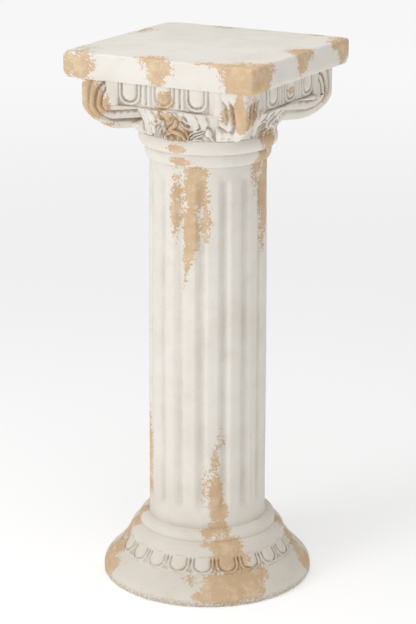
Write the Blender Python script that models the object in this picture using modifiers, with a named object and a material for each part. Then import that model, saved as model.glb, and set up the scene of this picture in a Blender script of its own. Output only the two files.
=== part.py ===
"""Garden pedestal: one hollow casting in the shape of a short fluted column.

From the ground up it has a domed round foot, a sloping ring of eggs and darts,
two rolls, a shaft with sixteen flutes, a neck with two mouldings, a leafy bell,
four corner volutes, a band of eggs and darts on each side and a square abacus.
Units are metres, Z is up and the origin is the middle of the underside.
"""

import math

import bmesh
import bpy
from mathutils import Matrix, Vector

# Overall sizes
HEIGHT = 0.8000
ABACUS_SIDE = 0.3000
ABACUS_THICK = 0.0380
ABACUS_CORNER = 0.0060
# How far the slab's sides draw in near its top and bottom edges: inset and height
ABACUS_TOP_ROUND = 0.0035
ABACUS_BOTTOM_INSET = 0.0060
ABACUS_BOTTOM_RISE = 0.0140
FOOT_RADIUS = 0.1565
UNDERSIDE_RADIUS = 0.1515

# Shaft, which narrows a little in its upper half
SHAFT_RADIUS = 0.0868
SHAFT_TOP_RADIUS = 0.0850
SHAFT_BOTTOM = 0.0990
SHAFT_TOP = 0.6390
TAPER_START = 0.3700

# Foot and rolls: heights, radii and how far each arc swells beyond its chord
DOME_WIDEST = 0.0090
DOME_TOP = 0.0370
DOME_TOP_RADIUS = 0.1370
DOME_SWELL = 0.0050
EGG_RING_BOTTOM = 0.0415
EGG_RING_TOP = 0.0620
EGG_RING_RADIUS = 0.1305
EGG_RING_TOP_RADIUS = 0.1145
ROLLS_MEET = 0.0810
ROLLS_MEET_RADIUS = 0.1033
LOWER_ROLL_SWELL = 0.0032
UPPER_ROLL_TOP_RADIUS = 0.0896
UPPER_ROLL_SWELL = 0.0028

# Neck and bell
NECK_GROOVE = 0.6570
NECK_GROOVE_RADIUS = 0.0922
NECK_SWELL = 0.0030
ECHINUS_TOP_RADIUS = 0.0978
ECHINUS_SWELL = 0.0042
BELL_BOTTOM = 0.6785
BELL_RADIUS = 0.0965
BELL_FLARE = 0.0215
BELL_CURVE = 1.8

# Flutes
FLUTE_COUNT = 16
FLUTE_BOTTOM = 0.1250
FLUTE_TOP = 0.6200
FLUTE_DEPTH = 0.0052
FLUTE_WIDTH = 0.0240
FLUTE_LEAN = 0.0040

# Band of eggs and darts under the abacus
ABACUS_BOTTOM = HEIGHT - ABACUS_THICK
BAND_BOTTOM = 0.7245
BAND_HALF = 0.1300
BAND_HALF_LENGTH = 0.0870
BAND_EGG_PITCH = 0.0530
BAND_EGG_BOTTOM = 0.7368
BAND_EGG_HALF_WIDTH = 0.0100
BAND_EGG_PROUD = 0.0062
BAND_FRAME_HALF = 0.0143
BAND_FRAME_BOTTOM = 0.7345
BAND_FRAME_TUBE = 0.0030
BAND_DART_BOTTOM = 0.7330
BAND_DART_WIDTH = 0.0034
BAND_DART_PROUD = 0.0028
LEDGE_HALF_LENGTH = 0.0800
LEDGE_HEIGHT = 0.0030
LEDGE_PROUD = 0.0022

# Corner volutes: how far out and how low they reach, and the slant of their faces
VOLUTE_FACE = 0.1330
VOLUTE_EDGE = 0.1316
VOLUTE_INNER = 0.0520
VOLUTE_TURN_OUT = 0.0942
VOLUTE_TURN_Z = 0.7252
VOLUTE_BOTTOM = 0.6870
VOLUTE_BULGE = 1.3
VOLUTE_SLANT = 0.11
VOLUTE_EYE_OUT = 0.0886
VOLUTE_EYE_Z = 0.7232
GROOVE_TUBE = 0.0030
# Width, rise and drop of each scroll groove about the eye
SCROLL_GROOVES = ((0.0126, 0.0240, 0.0180), (0.0240, 0.0345, 0.0285))

# Ring of eggs and darts on the foot
FOOT_EGG_COUNT = 21
FOOT_EGG_PHASE = math.radians(-64.5)
FOOT_EGG_HALF_WIDTH = 0.0095
FOOT_EGG_HALF_LENGTH = 0.0125
FOOT_EGG_PROUD = 0.0046
FOOT_DART_WIDTH = 0.0030
FOOT_DART_PROUD = 0.0018
FOOT_DART_LENGTH = 0.0230

# Leaves, flowers and tendrils on the bell
LEAF_LOBES = 2
LEAF_LOBE_DEPTH = 0.10
LEAF_FOOT = 0.10
LEAF_TIP = 0.94
LEAF_FULLNESS = 0.7
LEAF_RIM = 0.35
LEAF_SINK = 0.0015
SIDE_LEAF_ANGLE = math.radians(20.0)
SIDE_LEAF_HALF_WIDTH = 0.0150
SIDE_LEAF_THICK = 0.0050
SIDE_LEAF_LEAN = 0.0030
CENTRE_LEAF_HALF_WIDTH = 0.0085
CENTRE_LEAF_LENGTH = 0.0290
CENTRE_LEAF_THICK = 0.0045
CENTRE_LEAF_LEAN = 0.0010
CORNER_LEAF_HALF_WIDTH = 0.0230
CORNER_LEAF_LENGTH = 0.0240
CORNER_LEAF_THICK = 0.0060
CORNER_LEAF_LEAN = 0.0100
FLOWER_PETALS = 5
FLOWER_RADIUS = 0.0085
FLOWER_Z = 0.7160
FLOWER_PROUD = 0.0060
FLOWER_NOTCH = 0.6
FLOWER_RIM = 0.7
TENDRIL_TUBE = 0.0024
TENDRIL_OUT = 0.0155
TENDRIL_Z = 0.7040
TENDRIL_RADIUS = 0.0075
TENDRIL_TURN = math.radians(400.0)
TENDRIL_CLOSE = 0.75
TENDRIL_ROOT = 0.3

# How far an added shape reaches into its neighbour
JOIN = 0.0040
# Small offset that keeps one shape's middle or edge off another's flat face
OFF_FACE = 0.0004

# Fineness of the curved shapes
TURN_STEPS = 48
ABACUS_STEPS = 2
FLUTE_SIDES = 14
FLUTE_RINGS = 6
VOLUTE_STEPS = 5
SCROLL_STEPS = 5
TENDRIL_STEPS = 5


def clear_scene():
    """Remove every object that a new file starts with."""
    for obj in list(bpy.data.objects):
        bpy.data.objects.remove(obj, do_unlink=True)


def new_collection(name):
    """Make a collection and link it to the scene."""
    collection = bpy.data.collections.new(name)
    bpy.context.scene.collection.children.link(collection)
    return collection


def whitewash():
    """Chalky white paint over a tan cast body."""
    material = bpy.data.materials.new("whitewash")
    material.use_nodes = True
    shader = material.node_tree.nodes["Principled BSDF"]
    shader.inputs["Base Color"].default_value = (0.78, 0.74, 0.68, 1.0)
    shader.inputs["Roughness"].default_value = 0.88
    shader.inputs["Metallic"].default_value = 0.0
    return material


def object_from_mesh(name, mesh, collection, matrix=Matrix()):
    """Link a mesh as an object, moved by a matrix."""
    obj = bpy.data.objects.new(name, mesh)
    collection.objects.link(obj)
    obj.matrix_world = matrix
    return obj


def mesh_from_bmesh(name, bm):
    """Turn a bmesh into a mesh whose faces point outwards, and free it."""
    bmesh.ops.recalc_face_normals(bm, faces=bm.faces)
    mesh = bpy.data.meshes.new(name)
    bm.to_mesh(mesh)
    bm.free()
    return mesh


def helper(name, mesh, collection, matrix=Matrix()):
    """Link a mesh as a hidden shape that is joined to the main solid or cut from it."""
    obj = object_from_mesh(name, mesh, collection, matrix)
    obj.hide_render = True
    obj.display_type = "WIRE"
    return obj


def quarter_turn(index):
    """Turn about the upright axis from the first side to another side."""
    return Matrix.Rotation(math.pi / 2 * index, 4, "Z")


def add_boolean(obj, operation, operand):
    """Add one Boolean with an object or a whole collection."""
    modifier = obj.modifiers.new(operation.title(), "BOOLEAN")
    modifier.operation = operation
    # The exact solver leaves open edges where this many small shapes meet
    modifier.solver = "MANIFOLD"
    if isinstance(operand, bpy.types.Collection):
        modifier.operand_type = "COLLECTION"
        modifier.collection = operand
    else:
        modifier.object = operand


def mesh_of(obj):
    """Evaluated mesh of an object as plain data."""
    graph = bpy.context.evaluated_depsgraph_get()
    return bpy.data.meshes.new_from_object(obj.evaluated_get(graph))


def arc_points(start, end, swell, steps):
    """Points of a shallow arc in (r, z) that swells outwards from its chord."""
    first = Vector(start)
    chord = Vector(end) - first
    normal = Vector((-chord.y, chord.x)).normalized()
    if normal.x < 0.0:
        normal = -normal
    points = []
    for step in range(steps + 1):
        t = step / steps
        points.append(first + chord * t + normal * (4.0 * swell * t * (1.0 - t)))
    return points


def bell_radius(z):
    """Radius of the bell behind the leaves at a height."""
    t = (z - BELL_BOTTOM) / (BAND_BOTTOM - BELL_BOTTOM)
    return BELL_RADIUS + BELL_FLARE * min(max(t, 0.0), 1.0) ** BELL_CURVE


def upper_profile():
    """Outline of the bell, neck and shaft in (r, z), from the top down."""
    points = [Vector((0.0, ABACUS_BOTTOM + JOIN))]
    points.append(Vector((bell_radius(BAND_BOTTOM), ABACUS_BOTTOM + JOIN)))
    for t in (1.0, 0.5, 0.0):
        z = BELL_BOTTOM + (BAND_BOTTOM - BELL_BOTTOM) * t
        points.append(Vector((bell_radius(z), z)))
    groove = (NECK_GROOVE_RADIUS, NECK_GROOVE)
    points += arc_points((ECHINUS_TOP_RADIUS, BELL_BOTTOM - 0.001), groove, ECHINUS_SWELL, 3)
    points += arc_points(groove, (SHAFT_TOP_RADIUS, SHAFT_TOP), NECK_SWELL, 2)[1:]
    points.append(Vector((SHAFT_RADIUS, TAPER_START)))
    points.append(Vector((SHAFT_RADIUS, SHAFT_BOTTOM + JOIN)))
    return points


def foot_profile():
    """Outline of the rolls and the foot in (r, z), from the shaft to the underside."""
    meeting = (ROLLS_MEET_RADIUS, ROLLS_MEET)
    points = arc_points((UPPER_ROLL_TOP_RADIUS, SHAFT_BOTTOM), meeting, UPPER_ROLL_SWELL, 3)
    points += arc_points(meeting, (EGG_RING_TOP_RADIUS, EGG_RING_TOP), LOWER_ROLL_SWELL, 3)[1:]
    points.append(Vector((EGG_RING_RADIUS, EGG_RING_BOTTOM)))
    points += arc_points((DOME_TOP_RADIUS, DOME_TOP), (FOOT_RADIUS, DOME_WIDEST), DOME_SWELL, 3)
    corner = FOOT_RADIUS - UNDERSIDE_RADIUS
    for angle in (math.pi / 6, math.pi / 2):
        points.append(Vector((UNDERSIDE_RADIUS + corner * math.cos(angle),
                              corner - corner * math.sin(angle))))
    points.append(Vector((0.0, 0.0)))
    return points


def build_column(collection, material):
    """Turned body: foot, rolls, shaft, neck and bell in one closed solid."""
    profile = upper_profile() + foot_profile()
    mesh = bpy.data.meshes.new("pedestal")
    edges = [(i, i + 1) for i in range(len(profile) - 1)]
    mesh.from_pydata([(p.x, 0.0, p.y) for p in profile], edges, [])
    mesh.materials.append(material)
    column = object_from_mesh("pedestal", mesh, collection)
    turn = column.modifiers.new("Turn", "SCREW")
    turn.steps = TURN_STEPS
    turn.render_steps = TURN_STEPS
    turn.use_merge_vertices = True
    turn.merge_threshold = 0.00005
    return column


def flute_rod():
    """Long round-ended rod whose side scoops one flute."""
    half = FLUTE_WIDTH / 2
    radius = (half ** 2 + FLUTE_DEPTH ** 2) / (2 * FLUTE_DEPTH)
    bm = bmesh.new()
    bmesh.ops.create_uvsphere(bm, u_segments=FLUTE_SIDES, v_segments=FLUTE_RINGS, radius=radius)
    equator = [v for v in bm.verts if abs(v.co.z) < 1e-6]
    bmesh.ops.delete(bm, geom=equator, context="VERTS")
    reach = (FLUTE_TOP - FLUTE_BOTTOM) / 2 - half
    for vert in bm.verts:
        vert.co.z += math.copysign(reach, vert.co.z)
    rims = [e for e in bm.edges if e.is_boundary]
    bmesh.ops.bridge_loops(bm, edges=rims)
    return mesh_from_bmesh("flute", bm), radius


def build_flutes(cutters):
    """Ring of rods that scoop the flutes out of the shaft."""
    rod, radius = flute_rod()
    distance = SHAFT_RADIUS - FLUTE_DEPTH + radius
    place = Matrix.Translation((distance, 0.0, (FLUTE_TOP + FLUTE_BOTTOM) / 2))
    lean = Matrix.Rotation(-FLUTE_LEAN, 4, "Y")
    for index in range(FLUTE_COUNT):
        turn = Matrix.Rotation(2 * math.pi * index / FLUTE_COUNT, 4, "Z")
        helper("flute_%d" % index, rod, cutters, turn @ place @ lean)


def block_mesh(size, centre):
    """Box of a size about a centre."""
    bm = bmesh.new()
    bmesh.ops.create_cube(bm, size=1.0)
    bmesh.ops.scale(bm, vec=size, verts=bm.verts)
    bmesh.ops.translate(bm, vec=centre, verts=bm.verts)
    return mesh_from_bmesh("block", bm)


def rounded_square(half, corner, z):
    """Points of a square with rounded corners at a height."""
    points = []
    for quarter in range(4):
        for step in range(ABACUS_STEPS + 1):
            angle = math.pi / 2 * (quarter + step / ABACUS_STEPS)
            out = Vector((half - corner, half - corner)) @ Matrix.Rotation(-math.pi / 2 * quarter, 2)
            points.append((out.x + corner * math.cos(angle), out.y + corner * math.sin(angle), z))
    return points


def abacus_levels():
    """Inset and height of each level of the slab, from its underside to its top."""
    levels = []
    for step in range(ABACUS_STEPS + 1):
        angle = math.pi / 2 * step / ABACUS_STEPS
        levels.append((ABACUS_BOTTOM_INSET * (1.0 - math.sin(angle)),
                       ABACUS_BOTTOM + ABACUS_BOTTOM_RISE * (1.0 - math.cos(angle))))
    for step in range(ABACUS_STEPS):
        angle = math.pi / 2 * step / (ABACUS_STEPS - 1)
        levels.append((ABACUS_TOP_ROUND * (1.0 - math.cos(angle)),
                       HEIGHT - ABACUS_TOP_ROUND * (1.0 - math.sin(angle))))
    return levels


def build_abacus(additions):
    """Square slab on top, rounded more at its lower edge than at its upper one."""
    bm = bmesh.new()
    rings = []
    for inset, z in abacus_levels():
        outline = rounded_square(ABACUS_SIDE / 2 - inset, ABACUS_CORNER, z)
        rings.append([bm.verts.new(point) for point in outline])
    bm.faces.new(rings[0])
    bm.faces.new(rings[-1])
    count = len(rings[0])
    for low, high in zip(rings, rings[1:]):
        for index in range(count):
            after = (index + 1) % count
            bm.faces.new((low[index], low[after], high[after], high[index]))
    helper("abacus", mesh_from_bmesh("abacus", bm), additions)


def build_band(additions):
    """Cross-shaped block behind the eggs, and the thin ledge under them on each side."""
    height = ABACUS_BOTTOM + JOIN - BAND_BOTTOM
    arm = block_mesh((2 * BAND_HALF_LENGTH, 2 * BAND_HALF, height),
                     (0.0, 0.0, BAND_BOTTOM + height / 2))
    ledge = block_mesh((2 * LEDGE_HALF_LENGTH, JOIN + LEDGE_PROUD, LEDGE_HEIGHT),
                       (0.0, -BAND_HALF + (JOIN - LEDGE_PROUD) / 2,
                        BAND_BOTTOM - OFF_FACE + LEDGE_HEIGHT / 2))
    for index in range(2):
        helper("band_arm_%d" % index, arm, additions, quarter_turn(index))
    for index in range(4):
        helper("ledge_%d" % index, ledge, additions, quarter_turn(index))


def prism_mesh(back, front):
    """Closed solid between two matching outlines."""
    bm = bmesh.new()
    rings = [[bm.verts.new(point) for point in ring] for ring in (back, front)]
    bm.faces.new(rings[0])
    bm.faces.new(reversed(rings[1]))
    count = len(back)
    for index in range(count):
        after = (index + 1) % count
        bm.faces.new((rings[0][index], rings[1][index], rings[1][after], rings[0][after]))
    return mesh_from_bmesh("prism", bm)


def volute_outline(reach):
    """Side view of a volute in (distance out, height): upright edge, then a round turn in."""
    top = ABACUS_BOTTOM + JOIN
    points = [(VOLUTE_INNER, top), (reach, top)]
    for step in range(VOLUTE_STEPS + 1):
        angle = math.pi / 2 * step / VOLUTE_STEPS
        across = (reach - VOLUTE_TURN_OUT) * math.cos(angle) ** VOLUTE_BULGE
        down = (VOLUTE_TURN_Z - VOLUTE_BOTTOM) * math.sin(angle) ** VOLUTE_BULGE
        points.append((VOLUTE_TURN_OUT + across, VOLUTE_TURN_Z - down))
    points.append((VOLUTE_INNER, VOLUTE_BOTTOM))
    return points


def volute_face(out):
    """Distance of a volute's face from the middle; it falls back away from the corner."""
    return VOLUTE_FACE - (VOLUTE_FACE - out) * VOLUTE_SLANT


def volute_reach(z):
    """Distance of a volute's face from the middle where it turns in below its widest part."""
    drop = min(max((VOLUTE_TURN_Z - z) / (VOLUTE_TURN_Z - VOLUTE_BOTTOM), 0.0), 1.0)
    angle = math.asin(drop ** (1.0 / VOLUTE_BULGE))
    return VOLUTE_TURN_OUT + (VOLUTE_FACE - VOLUTE_TURN_OUT) * math.cos(angle) ** VOLUTE_BULGE


def volute_mesh():
    """One corner volute: two crossed prisms with the edge between them worn round."""
    outline = volute_outline(VOLUTE_FACE)
    meshes = [prism_mesh([(x, VOLUTE_INNER, z) for x, z in outline],
                         [(x, volute_face(x), z) for x, z in outline]),
              prism_mesh([(VOLUTE_INNER, y, z) for y, z in outline],
                         [(volute_face(y), y, z) for y, z in outline])]
    side = VOLUTE_FACE / 2
    worn = volute_outline(VOLUTE_EDGE)
    worn = [(0.0, worn[0][1])] + worn[1:-1] + [(0.0, VOLUTE_BOTTOM)]
    meshes.append(prism_mesh([(t - side, t + side, z) for t, z in worn],
                             [(t + side, t - side, z) for t, z in worn]))
    tools = [object_from_mesh("volute_tool", mesh, bpy.context.scene.collection)
             for mesh in meshes]
    for tool in tools[1:]:
        add_boolean(tools[0], "INTERSECT", tool)
    bpy.context.view_layer.update()
    mesh = mesh_of(tools[0])
    for tool in tools:
        bpy.data.objects.remove(tool, do_unlink=True)
    return mesh


def build_volutes(additions):
    """Four corner volutes."""
    volute = volute_mesh()
    for index in range(4):
        helper("volute_%d" % index, volute, additions, quarter_turn(index))


def tube_mesh(points, radius):
    """Closed four-sided tube along points."""
    data = bpy.data.curves.new("tube", "CURVE")
    data.dimensions = "3D"
    data.bevel_depth = radius
    data.bevel_resolution = 0
    data.use_fill_caps = True
    spline = data.splines.new("POLY")
    spline.points.add(len(points) - 1)
    for point, place in zip(spline.points, points):
        point.co = (*place, 1.0)
    curve = object_from_mesh("tube", data, bpy.context.scene.collection)
    bpy.context.view_layer.update()
    bm = bmesh.new()
    bm.from_mesh(mesh_of(curve))
    bpy.data.objects.remove(curve, do_unlink=True)
    bmesh.ops.remove_doubles(bm, verts=bm.verts, dist=0.00001)
    return mesh_from_bmesh("tube", bm)


def mirrored(mesh):
    """Left-handed twin of a mesh."""
    twin = mesh.copy()
    twin.transform(Matrix.Scale(-1.0, 4, (1.0, 0.0, 0.0)))
    twin.flip_normals()
    return twin


def scroll_points(reach, rise, drop):
    """One scroll line: from the abacus, round the outer side of the eye, then inwards."""
    places = []
    for step in range(SCROLL_STEPS + 1):
        angle = math.radians(95.0) - math.radians(185.0) * step / SCROLL_STEPS
        height = rise if angle > 0.0 else drop
        places.append((VOLUTE_EYE_OUT + reach * math.cos(angle),
                       VOLUTE_EYE_Z + height * math.sin(angle)))
    places.append((VOLUTE_INNER - JOIN, VOLUTE_EYE_Z - drop))
    return [(x, -min(volute_face(x), volute_reach(z)) - OFF_FACE, z) for x, z in places]


def build_scroll_grooves(cutters):
    """Scroll grooves on both faces of every corner."""
    for number, (reach, rise, drop) in enumerate(SCROLL_GROOVES):
        right = tube_mesh(scroll_points(reach, rise, drop), GROOVE_TUBE)
        left = mirrored(right)
        for index in range(4):
            turn = quarter_turn(index)
            helper("groove_right_%d_%d" % (number, index), right, cutters, turn)
            helper("groove_left_%d_%d" % (number, index), left, cutters, turn)


def egg_mesh(half_width, half_length, proud, sides, rings):
    """Egg seen from the front: wider at the top and rounded below."""
    bm = bmesh.new()
    bmesh.ops.create_uvsphere(bm, u_segments=sides, v_segments=rings, radius=1.0)
    for vert in bm.verts:
        vert.co.x *= half_width * (1.0 + 0.12 * vert.co.z)
        vert.co.y *= proud
        vert.co.z *= half_length
    return mesh_from_bmesh("egg", bm)


def frame_points():
    """U-shaped path round an egg: two straight sides and a half circle."""
    half = BAND_FRAME_HALF
    top = ABACUS_BOTTOM + JOIN
    front = -BAND_HALF - OFF_FACE
    points = [(-half, front, top)]
    for step in range(5):
        angle = math.pi + math.pi * step / 4
        points.append((half * math.cos(angle), front,
                       BAND_FRAME_BOTTOM + half + half * math.sin(angle)))
    points.append((half, front, top))
    return points


def upright_bar(width, proud, bottom, top):
    """Thin upright bar on the plane y = 0, sunk into the surface behind it."""
    return block_mesh((width, proud + JOIN, top - bottom),
                      (0.0, (JOIN - proud) / 2, (bottom + top) / 2))


def build_band_ornament(additions):
    """Three framed eggs on each side, and a dart between neighbours."""
    half_length = (ABACUS_BOTTOM + JOIN - BAND_EGG_BOTTOM) / 2
    egg = egg_mesh(BAND_EGG_HALF_WIDTH, half_length, BAND_EGG_PROUD, 8, 4)
    frame = tube_mesh(frame_points(), BAND_FRAME_TUBE)
    dart = upright_bar(BAND_DART_WIDTH, BAND_DART_PROUD, BAND_DART_BOTTOM,
                       ABACUS_BOTTOM + JOIN)
    for side in range(4):
        turn = quarter_turn(side)
        for place in (-1, 0, 1):
            x = place * BAND_EGG_PITCH
            spot = Matrix.Translation((x, -BAND_HALF - OFF_FACE, BAND_EGG_BOTTOM + half_length))
            helper("band_egg_%d_%d" % (side, place + 1), egg, additions, turn @ spot)
            spot = Matrix.Translation((x, 0.0, 0.0))
            helper("band_frame_%d_%d" % (side, place + 1), frame, additions, turn @ spot)
        for place in (-0.5, 0.5):
            spot = Matrix.Translation((place * BAND_EGG_PITCH, -BAND_HALF, 0.0))
            helper("band_dart_%d_%d" % (side, place + 1), dart, additions, turn @ spot)


def egg_ring_frame():
    """Placement on the foot's slope: X across, Z up the slope, -Y out of it."""
    low = Vector((EGG_RING_RADIUS, 0.0, EGG_RING_BOTTOM))
    high = Vector((EGG_RING_TOP_RADIUS, 0.0, EGG_RING_TOP))
    up = (high - low).normalized()
    across = Vector((0.0, 1.0, 0.0))
    basis = Matrix((across, up.cross(across), up)).transposed().to_4x4()
    basis.translation = (low + high) / 2
    return basis


def build_foot_ornament(additions):
    """Ring of eggs and darts round the foot's slope."""
    egg = egg_mesh(FOOT_EGG_HALF_WIDTH, FOOT_EGG_HALF_LENGTH, FOOT_EGG_PROUD, 6, 4)
    dart = upright_bar(FOOT_DART_WIDTH, FOOT_DART_PROUD, -FOOT_DART_LENGTH / 2,
                       FOOT_DART_LENGTH / 2)
    basis = egg_ring_frame()
    pitch = 2 * math.pi / FOOT_EGG_COUNT
    for index in range(FOOT_EGG_COUNT):
        angle = FOOT_EGG_PHASE + pitch * index
        helper("foot_egg_%d" % index, egg, additions, Matrix.Rotation(angle, 4, "Z") @ basis)
        helper("foot_dart_%d" % index, dart, additions,
               Matrix.Rotation(angle + pitch / 2, 4, "Z") @ basis)


def on_bell(across, z, lift):
    """Point over the bell's surface; across runs round it from the side's middle."""
    radius = bell_radius(z) + lift
    theta = across / bell_radius(z)
    return (radius * math.sin(theta), -radius * math.cos(theta), z)


def leaf_side(half_width, length):
    """Right-hand edge of a leaf in (x, y): narrow foot, full middle and a lobed tip."""
    steps = 2 * LEAF_LOBES
    points = []
    for step in range(steps + 1):
        t = step / steps
        body = math.sin(math.pi * (LEAF_FOOT + (LEAF_TIP - LEAF_FOOT) * t)) ** LEAF_FULLNESS
        lobe = 1.0 + LEAF_LOBE_DEPTH * math.cos(2 * math.pi * LEAF_LOBES * t)
        points.append((half_width * body * lobe, length * t))
    return points


def leaf_mesh(half_width, bottom, length, thick, tip_lean):
    """Leaf with a raised midrib, laid on the bell; its tip leans away from the bell."""
    side = leaf_side(half_width, length)
    outline = side + [(-x, y) for x, y in reversed(side)]
    bm = bmesh.new()

    def vertex(x, y, lift):
        lean = 0.0 if lift < 0.0 else tip_lean * (y / length) ** 2
        return bm.verts.new(on_bell(x, bottom + y, lift + lean))

    back = [vertex(x, y, -JOIN) for x, y in outline]
    front = [vertex(x, y, LEAF_RIM * thick) for x, y in outline]
    rib = [vertex(0.0, y, thick) for _, y in side]
    count = len(outline)
    last = len(side) - 1
    bm.faces.new(back)
    for index in range(last):
        twin = count - 1 - index
        bm.faces.new((front[index], front[index + 1], rib[index + 1], rib[index]))
        bm.faces.new((front[twin - 1], front[twin], rib[index], rib[index + 1]))
    bm.faces.new((front[0], rib[0], front[-1]))
    bm.faces.new((front[last], front[last + 1], rib[last]))
    for index in range(count):
        after = (index + 1) % count
        bm.faces.new((back[index], front[index], front[after], back[after]))
    return mesh_from_bmesh("leaf", bm)


def flower_mesh():
    """Star-petalled flower with a raised middle, laid on the bell."""
    bm = bmesh.new()
    rings = []
    for lift in (-JOIN, FLOWER_RIM * FLOWER_PROUD):
        ring = []
        for step in range(2 * FLOWER_PETALS):
            angle = math.pi * step / FLOWER_PETALS
            reach = FLOWER_RADIUS * (1.0 if step % 2 == 0 else FLOWER_NOTCH)
            ring.append(bm.verts.new(on_bell(reach * math.sin(angle),
                                             FLOWER_Z + reach * math.cos(angle), lift)))
        rings.append(ring)
    middle = bm.verts.new(on_bell(0.0, FLOWER_Z, FLOWER_PROUD))
    bm.faces.new(rings[0])
    for step in range(2 * FLOWER_PETALS):
        after = (step + 1) % (2 * FLOWER_PETALS)
        bm.faces.new((rings[0][step], rings[0][after], rings[1][after], rings[1][step]))
        bm.faces.new((rings[1][step], rings[1][after], middle))
    return mesh_from_bmesh("flower", bm)


def tendril_points():
    """Stem that rises from the bell's foot and curls in on itself."""
    points = [on_bell(TENDRIL_ROOT * TENDRIL_OUT, BELL_BOTTOM + LEAF_SINK, 0.0)]
    for step in range(TENDRIL_STEPS + 1):
        t = step / TENDRIL_STEPS
        angle = TENDRIL_TURN * t - math.pi / 2
        radius = TENDRIL_RADIUS * (1.0 - TENDRIL_CLOSE * t)
        points.append(on_bell(TENDRIL_OUT + radius * math.cos(angle),
                              TENDRIL_Z + radius * math.sin(angle), 0.5 * TENDRIL_TUBE))
    return points


def build_foliage(additions):
    """Leaves, a flower and two curled tendrils between the volutes on each side."""
    foot = BELL_BOTTOM - LEAF_SINK
    full_length = BAND_BOTTOM + JOIN - BELL_BOTTOM
    side_leaf = leaf_mesh(SIDE_LEAF_HALF_WIDTH, foot, full_length, SIDE_LEAF_THICK,
                          SIDE_LEAF_LEAN)
    centre_leaf = leaf_mesh(CENTRE_LEAF_HALF_WIDTH, foot, CENTRE_LEAF_LENGTH,
                            CENTRE_LEAF_THICK, CENTRE_LEAF_LEAN)
    corner_leaf = leaf_mesh(CORNER_LEAF_HALF_WIDTH, foot, CORNER_LEAF_LENGTH,
                            CORNER_LEAF_THICK, CORNER_LEAF_LEAN)
    tendril = tube_mesh(tendril_points(), TENDRIL_TUBE)
    shapes = [("side_leaf", side_leaf, (-SIDE_LEAF_ANGLE, SIDE_LEAF_ANGLE)),
              ("centre_leaf", centre_leaf, (0.0,)),
              ("corner_leaf", corner_leaf, (math.pi / 4,)),
              ("flower", flower_mesh(), (0.0,)),
              ("tendril_right", tendril, (0.0,)),
              ("tendril_left", mirrored(tendril), (0.0,))]
    for name, mesh, angles in shapes:
        for side in range(4):
            for number, angle in enumerate(angles):
                turn = Matrix.Rotation(math.pi / 2 * side + angle, 4, "Z")
                helper("%s_%d_%d" % (name, side, number), mesh, additions, turn)


def main():
    """Build the helpers, then join and cut them into one closed casting."""
    clear_scene()
    pedestal_parts = new_collection("garden_pedestal")
    additions = new_collection("added_shapes")
    cutters = new_collection("cutters")
    column = build_column(pedestal_parts, whitewash())
    build_abacus(additions)
    build_band(additions)
    build_volutes(additions)
    build_band_ornament(additions)
    build_foot_ornament(additions)
    build_foliage(additions)
    build_flutes(cutters)
    build_scroll_grooves(cutters)
    add_boolean(column, "UNION", additions)
    add_boolean(column, "DIFFERENCE", cutters)


main()
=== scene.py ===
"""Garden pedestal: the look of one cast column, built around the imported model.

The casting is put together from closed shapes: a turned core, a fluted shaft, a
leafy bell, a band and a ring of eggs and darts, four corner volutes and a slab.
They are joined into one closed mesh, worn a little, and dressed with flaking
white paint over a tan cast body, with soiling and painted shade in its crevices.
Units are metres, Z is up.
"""

import logging
import math
from dataclasses import dataclass, field, fields
from enum import Enum
from typing import Callable, Sequence

import bmesh
import bpy
import numpy as np
from mathutils import Matrix, Vector


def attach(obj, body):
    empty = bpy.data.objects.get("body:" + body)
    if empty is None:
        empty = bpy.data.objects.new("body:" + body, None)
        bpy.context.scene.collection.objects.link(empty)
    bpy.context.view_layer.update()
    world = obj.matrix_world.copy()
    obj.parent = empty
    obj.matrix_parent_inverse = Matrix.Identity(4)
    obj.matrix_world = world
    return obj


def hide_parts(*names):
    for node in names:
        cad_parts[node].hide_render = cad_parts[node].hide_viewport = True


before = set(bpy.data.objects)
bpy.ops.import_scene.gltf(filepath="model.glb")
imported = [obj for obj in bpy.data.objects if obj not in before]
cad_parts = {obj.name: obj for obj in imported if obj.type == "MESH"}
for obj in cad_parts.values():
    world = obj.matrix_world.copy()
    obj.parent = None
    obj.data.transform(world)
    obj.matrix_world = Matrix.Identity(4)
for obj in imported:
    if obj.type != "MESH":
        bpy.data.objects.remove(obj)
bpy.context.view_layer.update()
LOG = logging.getLogger("pedestal")
MM = 0.001
TAU = 2.0 * math.pi
QUARTER = TAU / 4
ROOT2 = math.sqrt(2.0)
Relief = Callable[[np.ndarray, np.ndarray], np.ndarray]
Outline = tuple[tuple[float, float], ...]


class Side(Enum):
    """The four faces of the capital, by the quarter turns from the front."""

    FRONT = 0
    RIGHT = 1
    BACK = 2
    LEFT = 3

    @property
    def middle(self) -> float:
        """Angle of the face's middle."""
        return (self.value - 1) * QUARTER


class Corner(Enum):
    """The four corners of the capital, by the quarter turns from the nearest one."""

    NEAR = 0
    RIGHT = 1
    BACK = 2
    LEFT = 3


# Plain helpers


def smooth(low: float, high: float, value: np.ndarray) -> np.ndarray:
    """Ease from 0 to 1 between two values."""
    t = np.clip((value - low) / (high - low), 0.0, 1.0)
    return t * t * (3.0 - 2.0 * t)


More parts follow.
